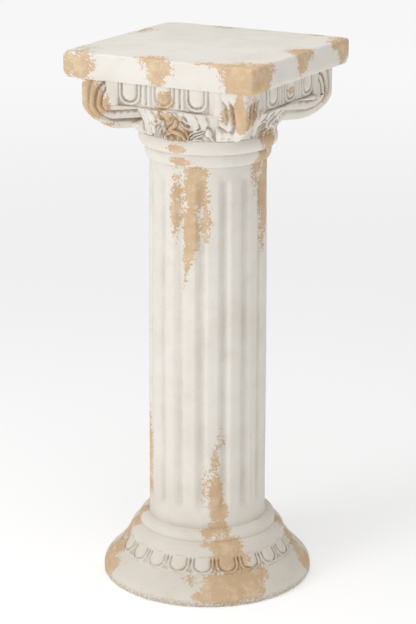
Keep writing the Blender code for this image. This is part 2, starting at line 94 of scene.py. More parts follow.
def lattice_noise(points: np.ndarray, scale: float, seed: int) -> np.ndarray:
    """Smooth value noise.

    Args:
        points: places, one row each.
        scale: cells in a metre.
        seed: picks one of many fields.

    Returns:
        A number from 0 to 1 for each place.
    """
    seed_step = 17.31
    q = points * scale + seed * seed_step
    cell = np.floor(q).astype(np.int64)
    part = q - cell
    part = part * part * (3.0 - 2.0 * part)
    total = np.zeros(len(points))
    for corner in range(8):
        step = np.array([(corner >> axis) & 1 for axis in range(3)])
        key = cell + step
        # the usual large primes scatter neighbouring cells over all numbers
        code = key[:, 0] * 73856093 ^ key[:, 1] * 19349663 ^ key[:, 2] * 83492791
        code = (code ^ (code >> 13)) * 1274126177 & 0x7FFFFFFF
        weight = np.prod(np.where(step == 1, part, 1.0 - part), axis=1)
        total += weight * ((code >> 7) & 0xFFFF) / 0xFFFF
    return total


def crown(reach: np.ndarray, power: float) -> np.ndarray:
    """Rounded hump: 1 in its middle, 0 where the reach is 1 or more."""
    return np.clip(1.0 - np.abs(reach) ** power, 0.0, 1.0)


def spread_evenly(count: int, crowding: float) -> np.ndarray:
    """Numbers from -1 to 1, set closer towards both ends as crowding grows above 1."""
    even = np.linspace(-1.0, 1.0, count)
    return np.sign(even) * (1.0 - (1.0 - np.abs(even)) ** crowding)


def turned(points: np.ndarray, angle: float) -> np.ndarray:
    """Turn points about the upright axis."""
    c, s = math.cos(angle), math.sin(angle)
    x, y = points[..., 0], points[..., 1]
    return np.stack([x * c - y * s, x * s + y * c, points[..., 2]], axis=-1)


def read_vectors(items: bpy.types.bpy_prop_collection, name: str) -> np.ndarray:
    """One vector property of all items, one row each."""
    values = np.empty(len(items) * 3)
    items.foreach_get(name, values)
    return values.reshape(-1, 3)


def mesh_from(name: str, points: np.ndarray, faces: Sequence[Sequence[int]]) -> bpy.types.Mesh:
    """Make a mesh with its faces turned outwards.

    Args:
        name: the mesh's name.
        points: places, one row each.
        faces: the corners of each face.

    Returns:
        The mesh.
    """
    mesh = bpy.data.meshes.new(name)
    mesh.from_pydata(points.tolist(), [], [list(map(int, f)) for f in faces])
    bm = bmesh.new()
    bm.from_mesh(mesh)
    bmesh.ops.recalc_face_normals(bm, faces=bm.faces)
    bm.to_mesh(mesh)
    bm.free()
    return mesh


def ring_solid(name: str, rings: np.ndarray) -> bpy.types.Mesh:
    """Closed solid through a stack of closed rings.

    Args:
        name: the mesh's name.
        rings: places as (ring, point, xyz).

    Returns:
        The mesh, its two ends closed with one face each.
    """
    count, size = rings.shape[:2]
    faces: list[Sequence[int]] = []
    here = np.arange(size)
    after = (here + 1) % size
    for ring in range(count - 1):
        low, high = ring * size, (ring + 1) * size
        faces += np.stack([low + here, low + after, high + after, high + here], 1).tolist()
    faces.append(here[::-1].tolist())
    faces.append(((count - 1) * size + here).tolist())
    return mesh_from(name, rings.reshape(-1, 3), faces)


def panel_solid(name: str, front: np.ndarray, back: np.ndarray) -> bpy.types.Mesh:
    """Closed solid behind a relief.

    Args:
        name: the mesh's name.
        front: the relief's places as (row, column, xyz).
        back: the same grid set back into what carries it; only its rim is used.

    Returns:
        The mesh.
    """
    rows, cols = front.shape[:2]
    index = np.arange(rows * cols).reshape(rows, cols)
    quads = np.stack([index[:-1, :-1], index[:-1, 1:], index[1:, 1:], index[1:, :-1]], -1)
    faces: list[Sequence[int]] = quads.reshape(-1, 4).tolist()
    rim = np.concatenate([index[0, :], index[1:, -1], index[-1, -2::-1], index[-2:0:-1, 0]])
    rear = back.reshape(-1, 3)[rim]
    base = rows * cols
    for here in range(len(rim)):
        after = (here + 1) % len(rim)
        faces.append([rim[here], base + here, base + after, rim[after]])
    faces.append(list(range(base, base + len(rim))))
    return mesh_from(name, np.vstack([front.reshape(-1, 3), rear]), faces)


def lathe_rings(profile: Sequence[tuple[float, float]], columns: int) -> np.ndarray:
    """Rings of a turned shape.

    Args:
        profile: (radius, height) from the bottom up.
        columns: places in each ring.

    Returns:
        The places as (ring, point, xyz).
    """
    angle = np.linspace(0.0, TAU, columns, endpoint=False)
    outline = np.array(profile)
    r, z = outline[:, :1], outline[:, 1:]
    return np.stack([r * np.cos(angle), r * np.sin(angle), z + 0.0 * angle], -1)


def arc(start: tuple[float, float], end: tuple[float, float], swell: float,
        steps: int) -> list[tuple[float, float]]:
    """Shallow arc in (radius, height) that swells outwards from its chord.

    Args:
        start: the first place.
        end: the last place.
        swell: how far the middle stands out.
        steps: the number of steps.

    Returns:
        The places, both ends included.
    """
    a, b = np.array(start), np.array(end)
    chord = b - a
    normal = np.array([chord[1], -chord[0]]) / np.linalg.norm(chord)
    normal = normal if normal[0] > 0.0 else -normal
    places = []
    for step in range(steps + 1):
        t = step / steps
        p = a + chord * t + normal * 4.0 * swell * t * (1.0 - t)
        places.append((float(p[0]), float(p[1])))
    return places


def curve_through(values: np.ndarray, t: np.ndarray) -> np.ndarray:
    """Smooth curve through values.

    Args:
        values: the values at whole numbers.
        t: where the curve is read.

    Returns:
        The curve's values.
    """
    if len(values) == 1:
        return np.repeat(values, len(t))
    padded = np.concatenate([[2 * values[0] - values[1]], values, [2 * values[-1] - values[-2]]])
    index = np.minimum(np.floor(t).astype(int), len(values) - 2)
    f = t - index
    p0, p1, p2, p3 = (padded[index + k] for k in range(4))
    return 0.5 * (2 * p1 + (p2 - p0) * f + (2 * p0 - 5 * p1 + 4 * p2 - p3) * f ** 2
                  + (3 * p1 - p0 - 3 * p2 + p3) * f ** 3)


# Node trees


class Graph:
    """A node tree with short calls for making and joining nodes."""

    def __init__(self, tree: bpy.types.NodeTree) -> None:
        """Keep the tree."""
        self.tree = tree

    def node(self, kind: str, inputs: dict[object, object] | None = None,
             **values: object) -> bpy.types.Node:
        """Make a node.

        Args:
            kind: Blender's name for the node's type.
            inputs: numbers, colours or output sockets, by input name or number.
            values: the node's properties by name.

        Returns:
            The node.
        """
        made = self.tree.nodes.new(kind)
        for name, value in values.items():
            setattr(made, name, value)
        for socket, value in (inputs or {}).items():
            self.put(made, socket, value)
        return made

    def put(self, node: bpy.types.Node, socket: object, value: object) -> None:
        """Set a node's input, or link it where the value is an output socket."""
        target = node.inputs[socket]
        if isinstance(value, bpy.types.NodeSocket):
            self.tree.links.new(value, target)
        else:
            target.default_value = value

    def math(self, operation: str, *values: object, clamp: bool = False) -> bpy.types.NodeSocket:
        """Result of a Math node.

        Args:
            operation: Blender's name of the operation.
            values: numbers or output sockets.
            clamp: keep the result from 0 to 1.

        Returns:
            The output socket.
        """
        made = self.node("ShaderNodeMath", dict(enumerate(values)), operation=operation,
                         use_clamp=clamp)
        return made.outputs[0]

    def add(self, first: object, second: object, clamp: bool = False) -> bpy.types.NodeSocket:
        """First value plus the second."""
        return self.math("ADD", first, second, clamp=clamp)

    def less(self, first: object, second: object) -> bpy.types.NodeSocket:
        """First value less the second."""
        return self.math("SUBTRACT", first, second)

    def times(self, first: object, second: object, clamp: bool = False) -> bpy.types.NodeSocket:
        """First value times the second."""
        return self.math("MULTIPLY", first, second, clamp=clamp)

    def over(self, first: object, second: object, clamp: bool = False) -> bpy.types.NodeSocket:
        """First value divided by the second."""
        return self.math("DIVIDE", first, second, clamp=clamp)

    def height(self, place: bpy.types.NodeSocket) -> bpy.types.NodeSocket:
        """Z of a place."""
        return self.node("ShaderNodeSeparateXYZ", {0: place}).outputs["Z"]

    def noise(self, place: bpy.types.NodeSocket, scale: float, detail: float = 3.0,
              rough: float = 0.6, distortion: float = 0.0) -> bpy.types.NodeSocket:
        """Result of a Noise Texture.

        Args:
            place: where it is read.
            scale: cells in a metre.
            detail: number of finer layers.
            rough: weight of the finer layers.
            distortion: how much the cells are bent.

        Returns:
            The output socket, about 0.5 on average.
        """
        made = self.node("ShaderNodeTexNoise", {"Vector": place, "Scale": scale,
                                                "Detail": detail, "Roughness": rough,
                                                "Distortion": distortion})
        return made.outputs["Fac"]

    def ramp(self, value: object, low: object, high: object, to_low: object = 0.0,
             to_high: object = 1.0) -> bpy.types.NodeSocket:
        """Eased Map Range.

        Args:
            value: number or output socket.
            low: value that gives to_low.
            high: value that gives to_high.
            to_low: result at low.
            to_high: result at high.

        Returns:
            The output socket.
        """
        inputs = dict(enumerate((value, low, high, to_low, to_high)))
        return self.node("ShaderNodeMapRange", inputs, interpolation_type="SMOOTHSTEP").outputs[0]

    def blend(self, factor: object, first: object, second: object) -> bpy.types.NodeSocket:
        """Mix of two colours.

        Args:
            factor: 0 for the first colour, 1 for the second.
            first: colour or output socket.
            second: colour or output socket.

        Returns:
            The output socket.
        """
        inputs = {0: factor, 6: first, 7: second}
        return self.node("ShaderNodeMix", inputs, data_type="RGBA").outputs[2]


# The finish


def tint(red: int, green: int, blue: int) -> tuple[float, float, float, float]:
    """Colour from screen values of 0 to 255."""
    def linear(value: int) -> float:
        """Screen value to linear light."""
        v = value / 255.0
        return v / 12.92 if v <= 0.04045 else ((v + 0.055) / 1.055) ** 2.4

    return (linear(red), linear(green), linear(blue), 1.0)


@dataclass(frozen=True)
class Patterns:
    """Sockets that several layers of the finish share."""

    place: bpy.types.NodeSocket
    height: bpy.types.NodeSocket
    flake: bpy.types.NodeSocket
    fleck: bpy.types.NodeSocket
    cloud: bpy.types.NodeSocket


@dataclass(frozen=True)
class WornWhitewash:
    """Chalky white paint that flakes off a tan cast body, with soiling and painted shade in
    crevices.

    Scales are cells in a metre, heights are metres, and shares run from 0 to 1.
    """

    paint: tuple = tint(240, 235, 227)
    paint_aged: tuple = tint(226, 218, 206)
    body: tuple = tint(215, 185, 149)
    body_pale: tuple = tint(230, 206, 174)
    body_dark: tuple = tint(190, 152, 112)
    # painted shade colour for the paint towards the bottom
    dusty: tuple = tint(217, 206, 188)
    # one grey-brown for soiling near the floor and for painted shade in crevices
    grime: tuple = tint(126, 105, 82)
    flake_scale: float = 110.0
    fleck_scale: float = 290.0
    cloud_scale: float = 14.0
    stain_scale: float = 45.0
    mottle_scale: float = 60.0
    grain_scale: float = 900.0
    flake_weight: float = 2.4
    fleck_weight: float = 3.4
    edge: float = 0.06
    cloud_share: float = 0.45
    stain_share: float = 0.40
    low_shade_share: float = 0.40
    low_shade_top: float = 0.22
    spot_share: float = 0.55
    spot_top: float = 0.16
    dark_share: float = 0.35
    remnant_share: float = 0.55
    hollow_share: float = 0.80
    splash_top: float = 0.014
    paint_thickness: float = 0.55
    flake_bump: float = 0.35
    fleck_bump: float = 0.45
    grain_bump: float = 0.22
    bump_strength: float = 0.55
    bump_height: float = 0.0009
    paint_roughness: float = 0.82
    body_roughness: float = 0.92
    specular: float = 0.25

    def material(self) -> bpy.types.Material:
        """Build the material.

        Returns:
            The material, which reads the mesh's bare and crevice attributes.
        """
        made = bpy.data.materials.new("worn_whitewash")
        made.use_nodes = True
        graph = Graph(made.node_tree)
        shader = made.node_tree.nodes["Principled BSDF"]
        place = graph.node("ShaderNodeTexCoord").outputs["Object"]
        marks = Patterns(place=place, height=graph.height(place),
                         flake=graph.noise(place, self.flake_scale, 5.0, 0.62, 0.25),
                         fleck=graph.noise(place, self.fleck_scale),
                         cloud=graph.noise(place, self.cloud_scale, 3.0, 0.5))
        gone = self.flaked(graph, marks)
        colour = graph.blend(gone, self.paint_colour(graph, marks), self.body_colour(graph, marks))
        # painted shade mixed with soiling: crevices and splashes near the floor blend towards one
        # grey-brown
        colour = graph.blend(self.dirt(graph, marks), colour, self.grime)
        graph.put(shader, "Base Color", colour)
        graph.put(shader, "Roughness", graph.ramp(gone, 0.0, 1.0, self.paint_roughness,
                                                  self.body_roughness))
        graph.put(shader, "Specular IOR Level", self.specular)
        graph.put(shader, "Normal", self.bumps(graph, marks, gone))
        return made

    def flaked(self, graph: Graph, marks: Patterns) -> bpy.types.NodeSocket:
        """Where the paint is gone: 1 on the bare body, with a crisp ragged edge.

        Args:
            graph: the material's tree.
            marks: the shared patterns.

        Returns:
            The output socket.
        """
        total = graph.node("ShaderNodeAttribute", attribute_name="bare").outputs["Fac"]
        for pattern, weight in ((marks.flake, self.flake_weight), (marks.fleck, self.fleck_weight)):
            away = graph.less(pattern, 0.5)
            total = graph.add(total, graph.times(away, weight))
        return graph.ramp(total, 0.5 - self.edge, 0.5 + self.edge)

    def paint_colour(self, graph: Graph, marks: Patterns) -> bpy.types.NodeSocket:
        """White with faint aged clouds, darker and yellower towards the bottom as painted shade,
        and spotted near the ground.

        Args:
            graph: the material's tree.
            marks: the shared patterns.

        Returns:
            The output socket.
        """
        stain = graph.ramp(graph.noise(marks.place, self.stain_scale, 4.0), 0.48, 0.78)
        aged = graph.times(graph.ramp(marks.cloud, 0.35, 0.75), self.cloud_share)
        amount = graph.add(aged, graph.times(stain, self.stain_share), clamp=True)
        base = graph.blend(amount, self.paint, self.paint_aged)
        # painted shade: the paint turns darker and yellower towards the bottom
        low = graph.ramp(marks.height, self.low_shade_top, 0.02)
        base = graph.blend(graph.times(low, self.low_shade_share), base, self.dusty)
        level = graph.ramp(marks.height, self.spot_top, 0.03, 0.68, 0.60)
        spots = graph.times(graph.ramp(marks.fleck, level, 0.76), self.spot_share)
        return graph.blend(spots, base, self.body)

    def body_colour(self, graph: Graph, marks: Patterns) -> bpy.types.NodeSocket:
        """Tan with pale and dark clouds and remnants of paint.

        Args:
            graph: the material's tree.
            marks: the shared patterns.

        Returns:
            The output socket.
        """
        mottle = graph.noise(marks.place, self.mottle_scale, 4.0)
        base = graph.blend(graph.ramp(mottle, 0.4, 0.75), self.body, self.body_pale)
        dark = graph.times(graph.ramp(marks.cloud, 0.5, 0.8), self.dark_share)
        base = graph.blend(dark, base, self.body_dark)
        rest = graph.times(graph.ramp(marks.fleck, 0.62, 0.72), self.remnant_share)
        return graph.blend(rest, base, self.paint)

    def dirt(self, graph: Graph, marks: Patterns) -> bpy.types.NodeSocket:
        """Grey-brown soiling splashed on the foot's lower edge, and darkening in the crevices that
        is partly soiling and partly painted shade.

        Args:
            graph: the material's tree.
            marks: the shared patterns.

        Returns:
            The output socket.
        """
        # painted shade: crevices darken towards the grey-brown, partly soiling and partly standing
        # in for shade
        crevice = graph.node("ShaderNodeAttribute", attribute_name="crevice").outputs["Fac"]
        mixed = graph.add(marks.cloud, graph.times(marks.fleck, 0.5))
        uneven = graph.ramp(mixed, 0.5, 1.0, 0.35, 1.0)
        hollows = graph.times(graph.times(crevice, uneven), self.hollow_share, clamp=True)
        splash = graph.times(graph.ramp(marks.height, self.splash_top, 0.001),
                             graph.ramp(marks.fleck, 0.35, 0.62, 0.1, 0.55))
        return graph.math("MAXIMUM", hollows, splash)

    def bumps(self, graph: Graph, marks: Patterns,
              gone: bpy.types.NodeSocket) -> bpy.types.NodeSocket:
        """Thickness of the paint at its edges, and the casting's grain.

        Args:
            graph: the material's tree.
            marks: the shared patterns.
            gone: where the paint is gone.

        Returns:
            The normal's output socket.
        """
        grain = graph.noise(marks.place, self.grain_scale, 2.0)
        height = graph.times(gone, -self.paint_thickness)
        for source, weight in ((marks.flake, self.flake_bump), (marks.fleck, self.fleck_bump),
                               (grain, self.grain_bump)):
            height = graph.add(height, graph.times(source, weight))
        bump = graph.node("ShaderNodeBump", {"Strength": self.bump_strength,
                                             "Distance": self.bump_height, "Height": height})
        return bump.outputs["Normal"]


# Geometry Nodes


def new_tree(name: str, values: dict[str, object]) -> bpy.types.NodeTree:
    """Geometry tree with a named input for each value, and one geometry output.

    Args:
        name: the tree's name.
        values: the inputs' values by name: numbers, an object or a material.

    Returns:
        The tree, with its Group Input and Group Output nodes.
    """
    kinds = {float: "Float", int: "Int", bpy.types.Object: "Object",
             bpy.types.Material: "Material"}
    tree = bpy.data.node_groups.new(name, "GeometryNodeTree")
    tree.interface.new_socket("Geometry", in_out="INPUT", socket_type="NodeSocketGeometry")
    for label, value in values.items():
        tree.interface.new_socket(label, in_out="INPUT",
                                  socket_type="NodeSocket" + kinds[type(value)])
    tree.interface.new_socket("Geometry", in_out="OUTPUT", socket_type="NodeSocketGeometry")
    tree.nodes.new("NodeGroupInput")
    tree.nodes.new("NodeGroupOutput")
    return tree


def close_tree(graph: Graph, shape: bpy.types.NodeSocket) -> None:
    """End a geometry tree in Realize Instances and Set Material."""
    realize = graph.node("GeometryNodeRealizeInstances", {"Geometry": shape})
    given = graph.tree.nodes["Group Input"].outputs
    finish = graph.node("GeometryNodeSetMaterial", {"Geometry": realize.outputs[0],
                                                    "Material": given["Material"]})
    graph.put(graph.tree.nodes["Group Output"], "Geometry", finish.outputs[0])


def grow(name: str, tree: bpy.types.NodeTree, values: dict[str, object]) -> bpy.types.Mesh:
    """Run a geometry tree once and keep its result as a plain mesh.

    Args:
        name: the mesh's name.
        tree: the geometry tree.
        values: the tree's inputs by name.

    Returns:
        The mesh.
    """
    holder = bpy.data.objects.new(name, bpy.data.meshes.new(name))
    bpy.context.scene.collection.objects.link(holder)
    modifier = holder.modifiers.new("Grow", "NODES")
    modifier.node_group = tree
    for item in tree.interface.items_tree:
        if item.in_out == "INPUT" and item.name in values:
            modifier[item.identifier] = values[item.name]
    depsgraph = bpy.context.evaluated_depsgraph_get()
    mesh = bpy.data.meshes.new_from_object(holder.evaluated_get(depsgraph))
    mesh.name = name
    bpy.data.objects.remove(holder, do_unlink=True)
    return mesh


def repeat_tree(name: str, values: dict[str, object]) -> bpy.types.NodeTree:
    """Tree that repeats a unit round the upright axis, or in rows on turned sides.

    Args:
        name: the tree's name.
        values: Unit, Material, Count, In Row, Turn, Start and Shift.

    Returns:
        The tree.
    """
    tree = new_tree(name, values)
    graph = Graph(tree)
    given = tree.nodes["Group Input"].outputs
    points = graph.node("GeometryNodePoints", {"Count": given["Count"]})
    index = graph.node("GeometryNodeInputIndex").outputs[0]
    row = graph.math("FLOOR", graph.over(index, given["In Row"]))
    place = graph.less(index, graph.times(row, given["In Row"]))
    middle = graph.over(graph.less(given["In Row"], 1.0), 2.0)
    across = graph.times(graph.less(place, middle), given["Shift"])
    angle = graph.add(graph.times(row, given["Turn"]), given["Start"])
    offset = graph.node("ShaderNodeCombineXYZ", {
        "X": graph.times(across, graph.math("COSINE", angle)),
        "Y": graph.times(across, graph.math("SINE", angle))})
    moved = graph.node("GeometryNodeSetPosition", {"Geometry": points.outputs[0],
                                                   "Position": offset.outputs[0]})
    turning = graph.node("ShaderNodeCombineXYZ", {"Z": angle})
    unit = graph.node("GeometryNodeObjectInfo", {"Object": given["Unit"]})
    copies = graph.node("GeometryNodeInstanceOnPoints", {"Points": moved.outputs[0],
                                                         "Instance": unit.outputs["Geometry"],
                                                         "Rotation": turning.outputs[0]})
    close_tree(graph, copies.outputs[0])
    return tree


def repeated(name: str, unit: bpy.types.Mesh, material: bpy.types.Material, count: int,
             in_row: int = 1, turn: float = QUARTER, start: float = 0.0,
             shift: float = 0.0) -> bpy.types.Mesh:
    """Repeat a unit with the repeating tree.

    Args:
        name: the result's name.
        unit: the unit's mesh.
        material: the finish.
        count: copies in all.
        in_row: copies in a row, before the next turn.
        turn: angle from one row to the next.
        start: angle of the first row.
        shift: sideways step inside a row.

    Returns:
        The mesh of all copies.
    """
    source = bpy.data.objects.new(name + "_unit", unit)
    bpy.context.scene.collection.objects.link(source)
    bpy.context.view_layer.update()
    values = {"Unit": source, "Count": count, "In Row": in_row, "Turn": turn, "Start": start,
              "Shift": shift, "Material": material}
    mesh = grow(name, repeat_tree(name, values), values)
    bpy.data.objects.remove(source, do_unlink=True)
    return mesh


# Sub-assemblies


@dataclass
class TurnedCore:
    """Foot, rolls, neck and the hidden core that carries the other shapes.

    Stretches that no simple curve follows are kept as (radius, height) places.
    """

    foot_radius: float = 0.1565
    underside_radius: float = 0.1515
    underside_inner: float = 0.0600
    dome: Outline = ((0.1563, 0.0115), (0.1551, 0.0165), (0.1530, 0.0200), (0.1492, 0.0242),
                     (0.1448, 0.0288), (0.1400, 0.0331), (0.1358, 0.0362), (0.1326, 0.0386),
                     (0.1308, 0.0398), (0.1300, 0.0410), (0.1284, 0.0431))
    egg_ring: Outline = ((0.1266, 0.0440), (0.1144, 0.0588), (0.1166, 0.0612))
    low_roll: Outline = ((0.1171, 0.0619), (0.1033, 0.0810))
    low_roll_swell: float = 0.0035
    high_roll: Outline = ((0.1030, 0.0822), (0.0890, 0.0965))
    high_roll_swell: float = 0.0044
    rolls_meet: Outline = ((0.1026, 0.0814),)
    shaft_foot: Outline = ((0.0884, 0.0974), (0.0880, 0.0992), (0.0874, 0.1030),
                           (0.0870, 0.1080), (0.0860, 0.1130))
    core: Outline = ((0.0780, 0.1200), (0.0780, 0.6340))
    neck: Outline = ((0.0838, 0.6384), (0.0860, 0.6390), (0.0880, 0.6402), (0.0900, 0.6430),
                     (0.0914, 0.6470), (0.0922, 0.6515), (0.0920, 0.6548), (0.0910, 0.6566),
                     (0.0915, 0.6578), (0.0945, 0.6586), (0.0972, 0.6602), (0.0990, 0.6628),
                     (0.1002, 0.6665), (0.1007, 0.6705), (0.1001, 0.6745), (0.0985, 0.6778))
    inside_capital: Outline = ((0.0930, 0.6830), (0.0900, 0.7000), (0.0900, 0.7660))
    edge_steps: int = 4
    roll_steps: int = 8
    columns: int = 192

    def profile(self) -> list[tuple[float, float]]:
        """Outline from the underside up.

        Returns:
            The (radius, height) places.
        """
        edge = self.foot_radius - self.underside_radius
        outline = [(self.underside_inner, 0.0), (self.underside_radius - 4.0 * MM, 0.0)]
        for step in range(self.edge_steps + 1):
            angle = QUARTER * (1.0 - step / self.edge_steps)
            outline.append((self.underside_radius + edge * math.cos(angle),
                            edge - edge * math.sin(angle)))
        outline += [*self.dome, *self.egg_ring]
        outline += arc(*self.low_roll, self.low_roll_swell, self.roll_steps)
        outline += self.rolls_meet
        outline += arc(*self.high_roll, self.high_roll_swell, self.roll_steps)
        outline += [*self.shaft_foot, *self.core, *self.neck, *self.inside_capital]
        return outline

    def mesh(self) -> bpy.types.Mesh:
        """Turned mesh, its ends closed."""
        return ring_solid("turned_core", lathe_rings(self.profile(), self.columns))


@dataclass
class FlutedShaft:
    """Shaft with sixteen round-ended flutes, grown by a tree from its own rule."""

    radius: float = 0.0868
    top_radius: float = 0.0850
    bottom: float = 0.0960
    top: float = 0.6420
    taper_start: float = 0.3700
    flutes: int = 16
    flute_depth: float = 0.0050
    flute_width: float = 0.0182
    flute_curve: float = 1.7
    flute_bottom: float = 0.1245
    flute_top: float = 0.6225
    columns: int = 320
    rows: int = 42

    def tree(self, values: dict[str, object]) -> bpy.types.NodeTree:
        """Build the tree.

        Args:
            values: the shaft's sizes and finish, by the names of its inputs.

        Returns:
            The geometry tree.
        """
        tree = new_tree("fluted_shaft", values)
        graph = Graph(tree)
        given = tree.nodes["Group Input"].outputs
        pipe = graph.node("GeometryNodeMeshCylinder", {
            "Vertices": given["Columns"], "Side Segments": given["Rows"], "Radius": 1.0,
            "Depth": 1.0}, fill_type="NGON")
        here = graph.node("GeometryNodeInputPosition").outputs[0]
        split = graph.node("ShaderNodeSeparateXYZ", {0: here}).outputs
        half_turn = graph.times(graph.add(split["Z"], 0.5), math.pi)
        eased = graph.times(graph.less(1.0, graph.math("COSINE", half_turn)), 0.5)
        length = graph.less(given["Top"], given["Bottom"])
        z = graph.add(given["Bottom"], graph.times(eased, length))
        taper = graph.over(graph.less(z, given["Taper Start"]),
                           graph.less(given["Top"], given["Taper Start"]), clamp=True)
        slim = graph.times(taper, graph.less(given["Top Radius"], given["Radius"]))
        radius = graph.add(given["Radius"], slim)
        angle = graph.math("ARCTAN2", split["Y"], split["X"])
        turn = graph.times(angle, graph.over(given["Flutes"], TAU))
        near = graph.less(turn, graph.math("ROUND", turn))
        across = graph.times(near, graph.times(radius, graph.over(TAU, given["Flutes"])))
        half = graph.times(given["Flute Width"], 0.5)
        above = graph.less(z, graph.less(given["Flute Top"], half))
        below = graph.less(graph.add(given["Flute Bottom"], half), z)
        beyond = graph.math("MAXIMUM", graph.math("MAXIMUM", above, below), 0.0)
        reach = graph.add(graph.times(across, across), graph.times(beyond, beyond))
        share = graph.over(graph.math("SQRT", reach), half, clamp=True)
        bowl = graph.less(1.0, graph.math("POWER", share, given["Flute Curve"]))
        final = graph.less(radius, graph.times(bowl, given["Flute Depth"]))
        place = graph.node("ShaderNodeCombineXYZ", {"X": graph.times(final, split["X"]),
                                                    "Y": graph.times(final, split["Y"]), "Z": z})
        shaped = graph.node("GeometryNodeSetPosition", {"Geometry": pipe.outputs["Mesh"],
                                                        "Position": place.outputs[0]})
        close_tree(graph, shaped.outputs[0])
        return tree

    def mesh(self, material: bpy.types.Material) -> bpy.types.Mesh:
        """Grow the shaft.

        Args:
            material: its finish.

        Returns:
            The mesh.
        """
        values = {item.name.replace("_", " ").title(): getattr(self, item.name)
                  for item in fields(self)}
        values["Material"] = material
        return grow("fluted_shaft", self.tree(values), values)


@dataclass
class FootRing:
    """Sloping ring of eggs and darts on the foot. Sizes of its relief are millimetres."""

    count: int = 21
    start: float = math.radians(-64.5)
    low: tuple[float, float] = (0.1302, 0.0412)
    high: tuple[float, float] = (0.1138, 0.0627)
    half_pitch: float = 18.3
    slope_length: float = 26.5
    egg_half: float = 11.9
    egg_centre: float = 15.5
    egg_low: float = 3.6
    egg_height: float = 2.7
    frame_half: float = 15.3
    frame_width: float = 2.1
    frame_height: float = 2.4
    frame_floor: float = 0.7
    dart_half: float = 1.5
    dart_height: float = 1.5
    slot_half: float = 1.0
    slot_depth: float = 2.4
    merged_height: float = 2.6
    sunk: float = 0.5
    backing: float = 5.0
    overlap: float = 1.001
    crowding: float = 1.25
    columns: int = 33
    rows: int = 19

    def relief(self, u: np.ndarray, v: np.ndarray) -> np.ndarray:
        """Height of a unit.

        Args:
            u: across, from -1 to 1 over the whole pitch.
            v: up the slope, from 0 to 1.

        Returns:
            Heights above the slope, below 0 at the unit's rim.
        """
        x = np.abs(u) * self.half_pitch
        below = np.clip(self.egg_centre - v * self.slope_length, 0.0, None)
        reach = np.hypot(x / self.egg_half, below / (self.egg_centre - self.egg_low))
        egg = self.egg_height * crown(reach, 3.4) ** 0.75
        ring = (x ** 2.3 + (below * 1.08) ** 2.3) ** (1.0 / 2.3)
        egg = egg + self.frame_floor * smooth(self.frame_half, self.frame_half - 3.5, ring)
        frame_line = self.frame_height * crown((ring - self.frame_half) / self.frame_width, 2.2)
        dart = self.dart_height * crown((self.half_pitch - x) / self.dart_half, 2.0)
        dart = dart * smooth(0.40, 0.22, v)
        shape = np.maximum(np.maximum(egg, frame_line), dart)
        shape = shape - self.frame_floor * smooth(0.04, 0.18, v)
        slot = np.exp(-((self.half_pitch - x) / self.slot_half) ** 2) * smooth(0.22, 0.36, v)
        shape = shape - self.slot_depth * slot
        merged = smooth(0.74, 0.96, v)
        shape = shape * (1.0 - merged) + self.merged_height * merged
        risen = smooth(0.0, 0.07, v)
        return (shape * risen - self.sunk * (1.0 - risen)) * MM

    def mesh(self, material: bpy.types.Material) -> bpy.types.Mesh:
        """Build one unit and repeat it round the foot.

        Args:
            material: the finish.

        Returns:
            The mesh of all units.
        """
        low, high = np.array(self.low), np.array(self.high)
        slope = (high - low) / np.linalg.norm(high - low)
        out = np.array([slope[1], -slope[0]])
        u, v = np.meshgrid(spread_evenly(self.columns, self.crowding),
                           np.linspace(0.0, 1.0, self.rows))
        angle = u * math.pi / self.count * self.overlap

        def placed(lift: np.ndarray) -> np.ndarray:
            """Places at a lift above the slope."""
            r = low[0] + (high[0] - low[0]) * v + out[0] * lift
            z = low[1] + (high[1] - low[1]) * v + out[1] * lift
            return np.stack([r * np.cos(angle), r * np.sin(angle), z], -1)

        height = self.relief(u, v)
        unit = panel_solid("foot_unit", placed(height), placed(height * 0.0 - self.backing * MM))
        return repeated("foot_ring", unit, material, count=self.count, turn=TAU / self.count,
                        start=self.start)


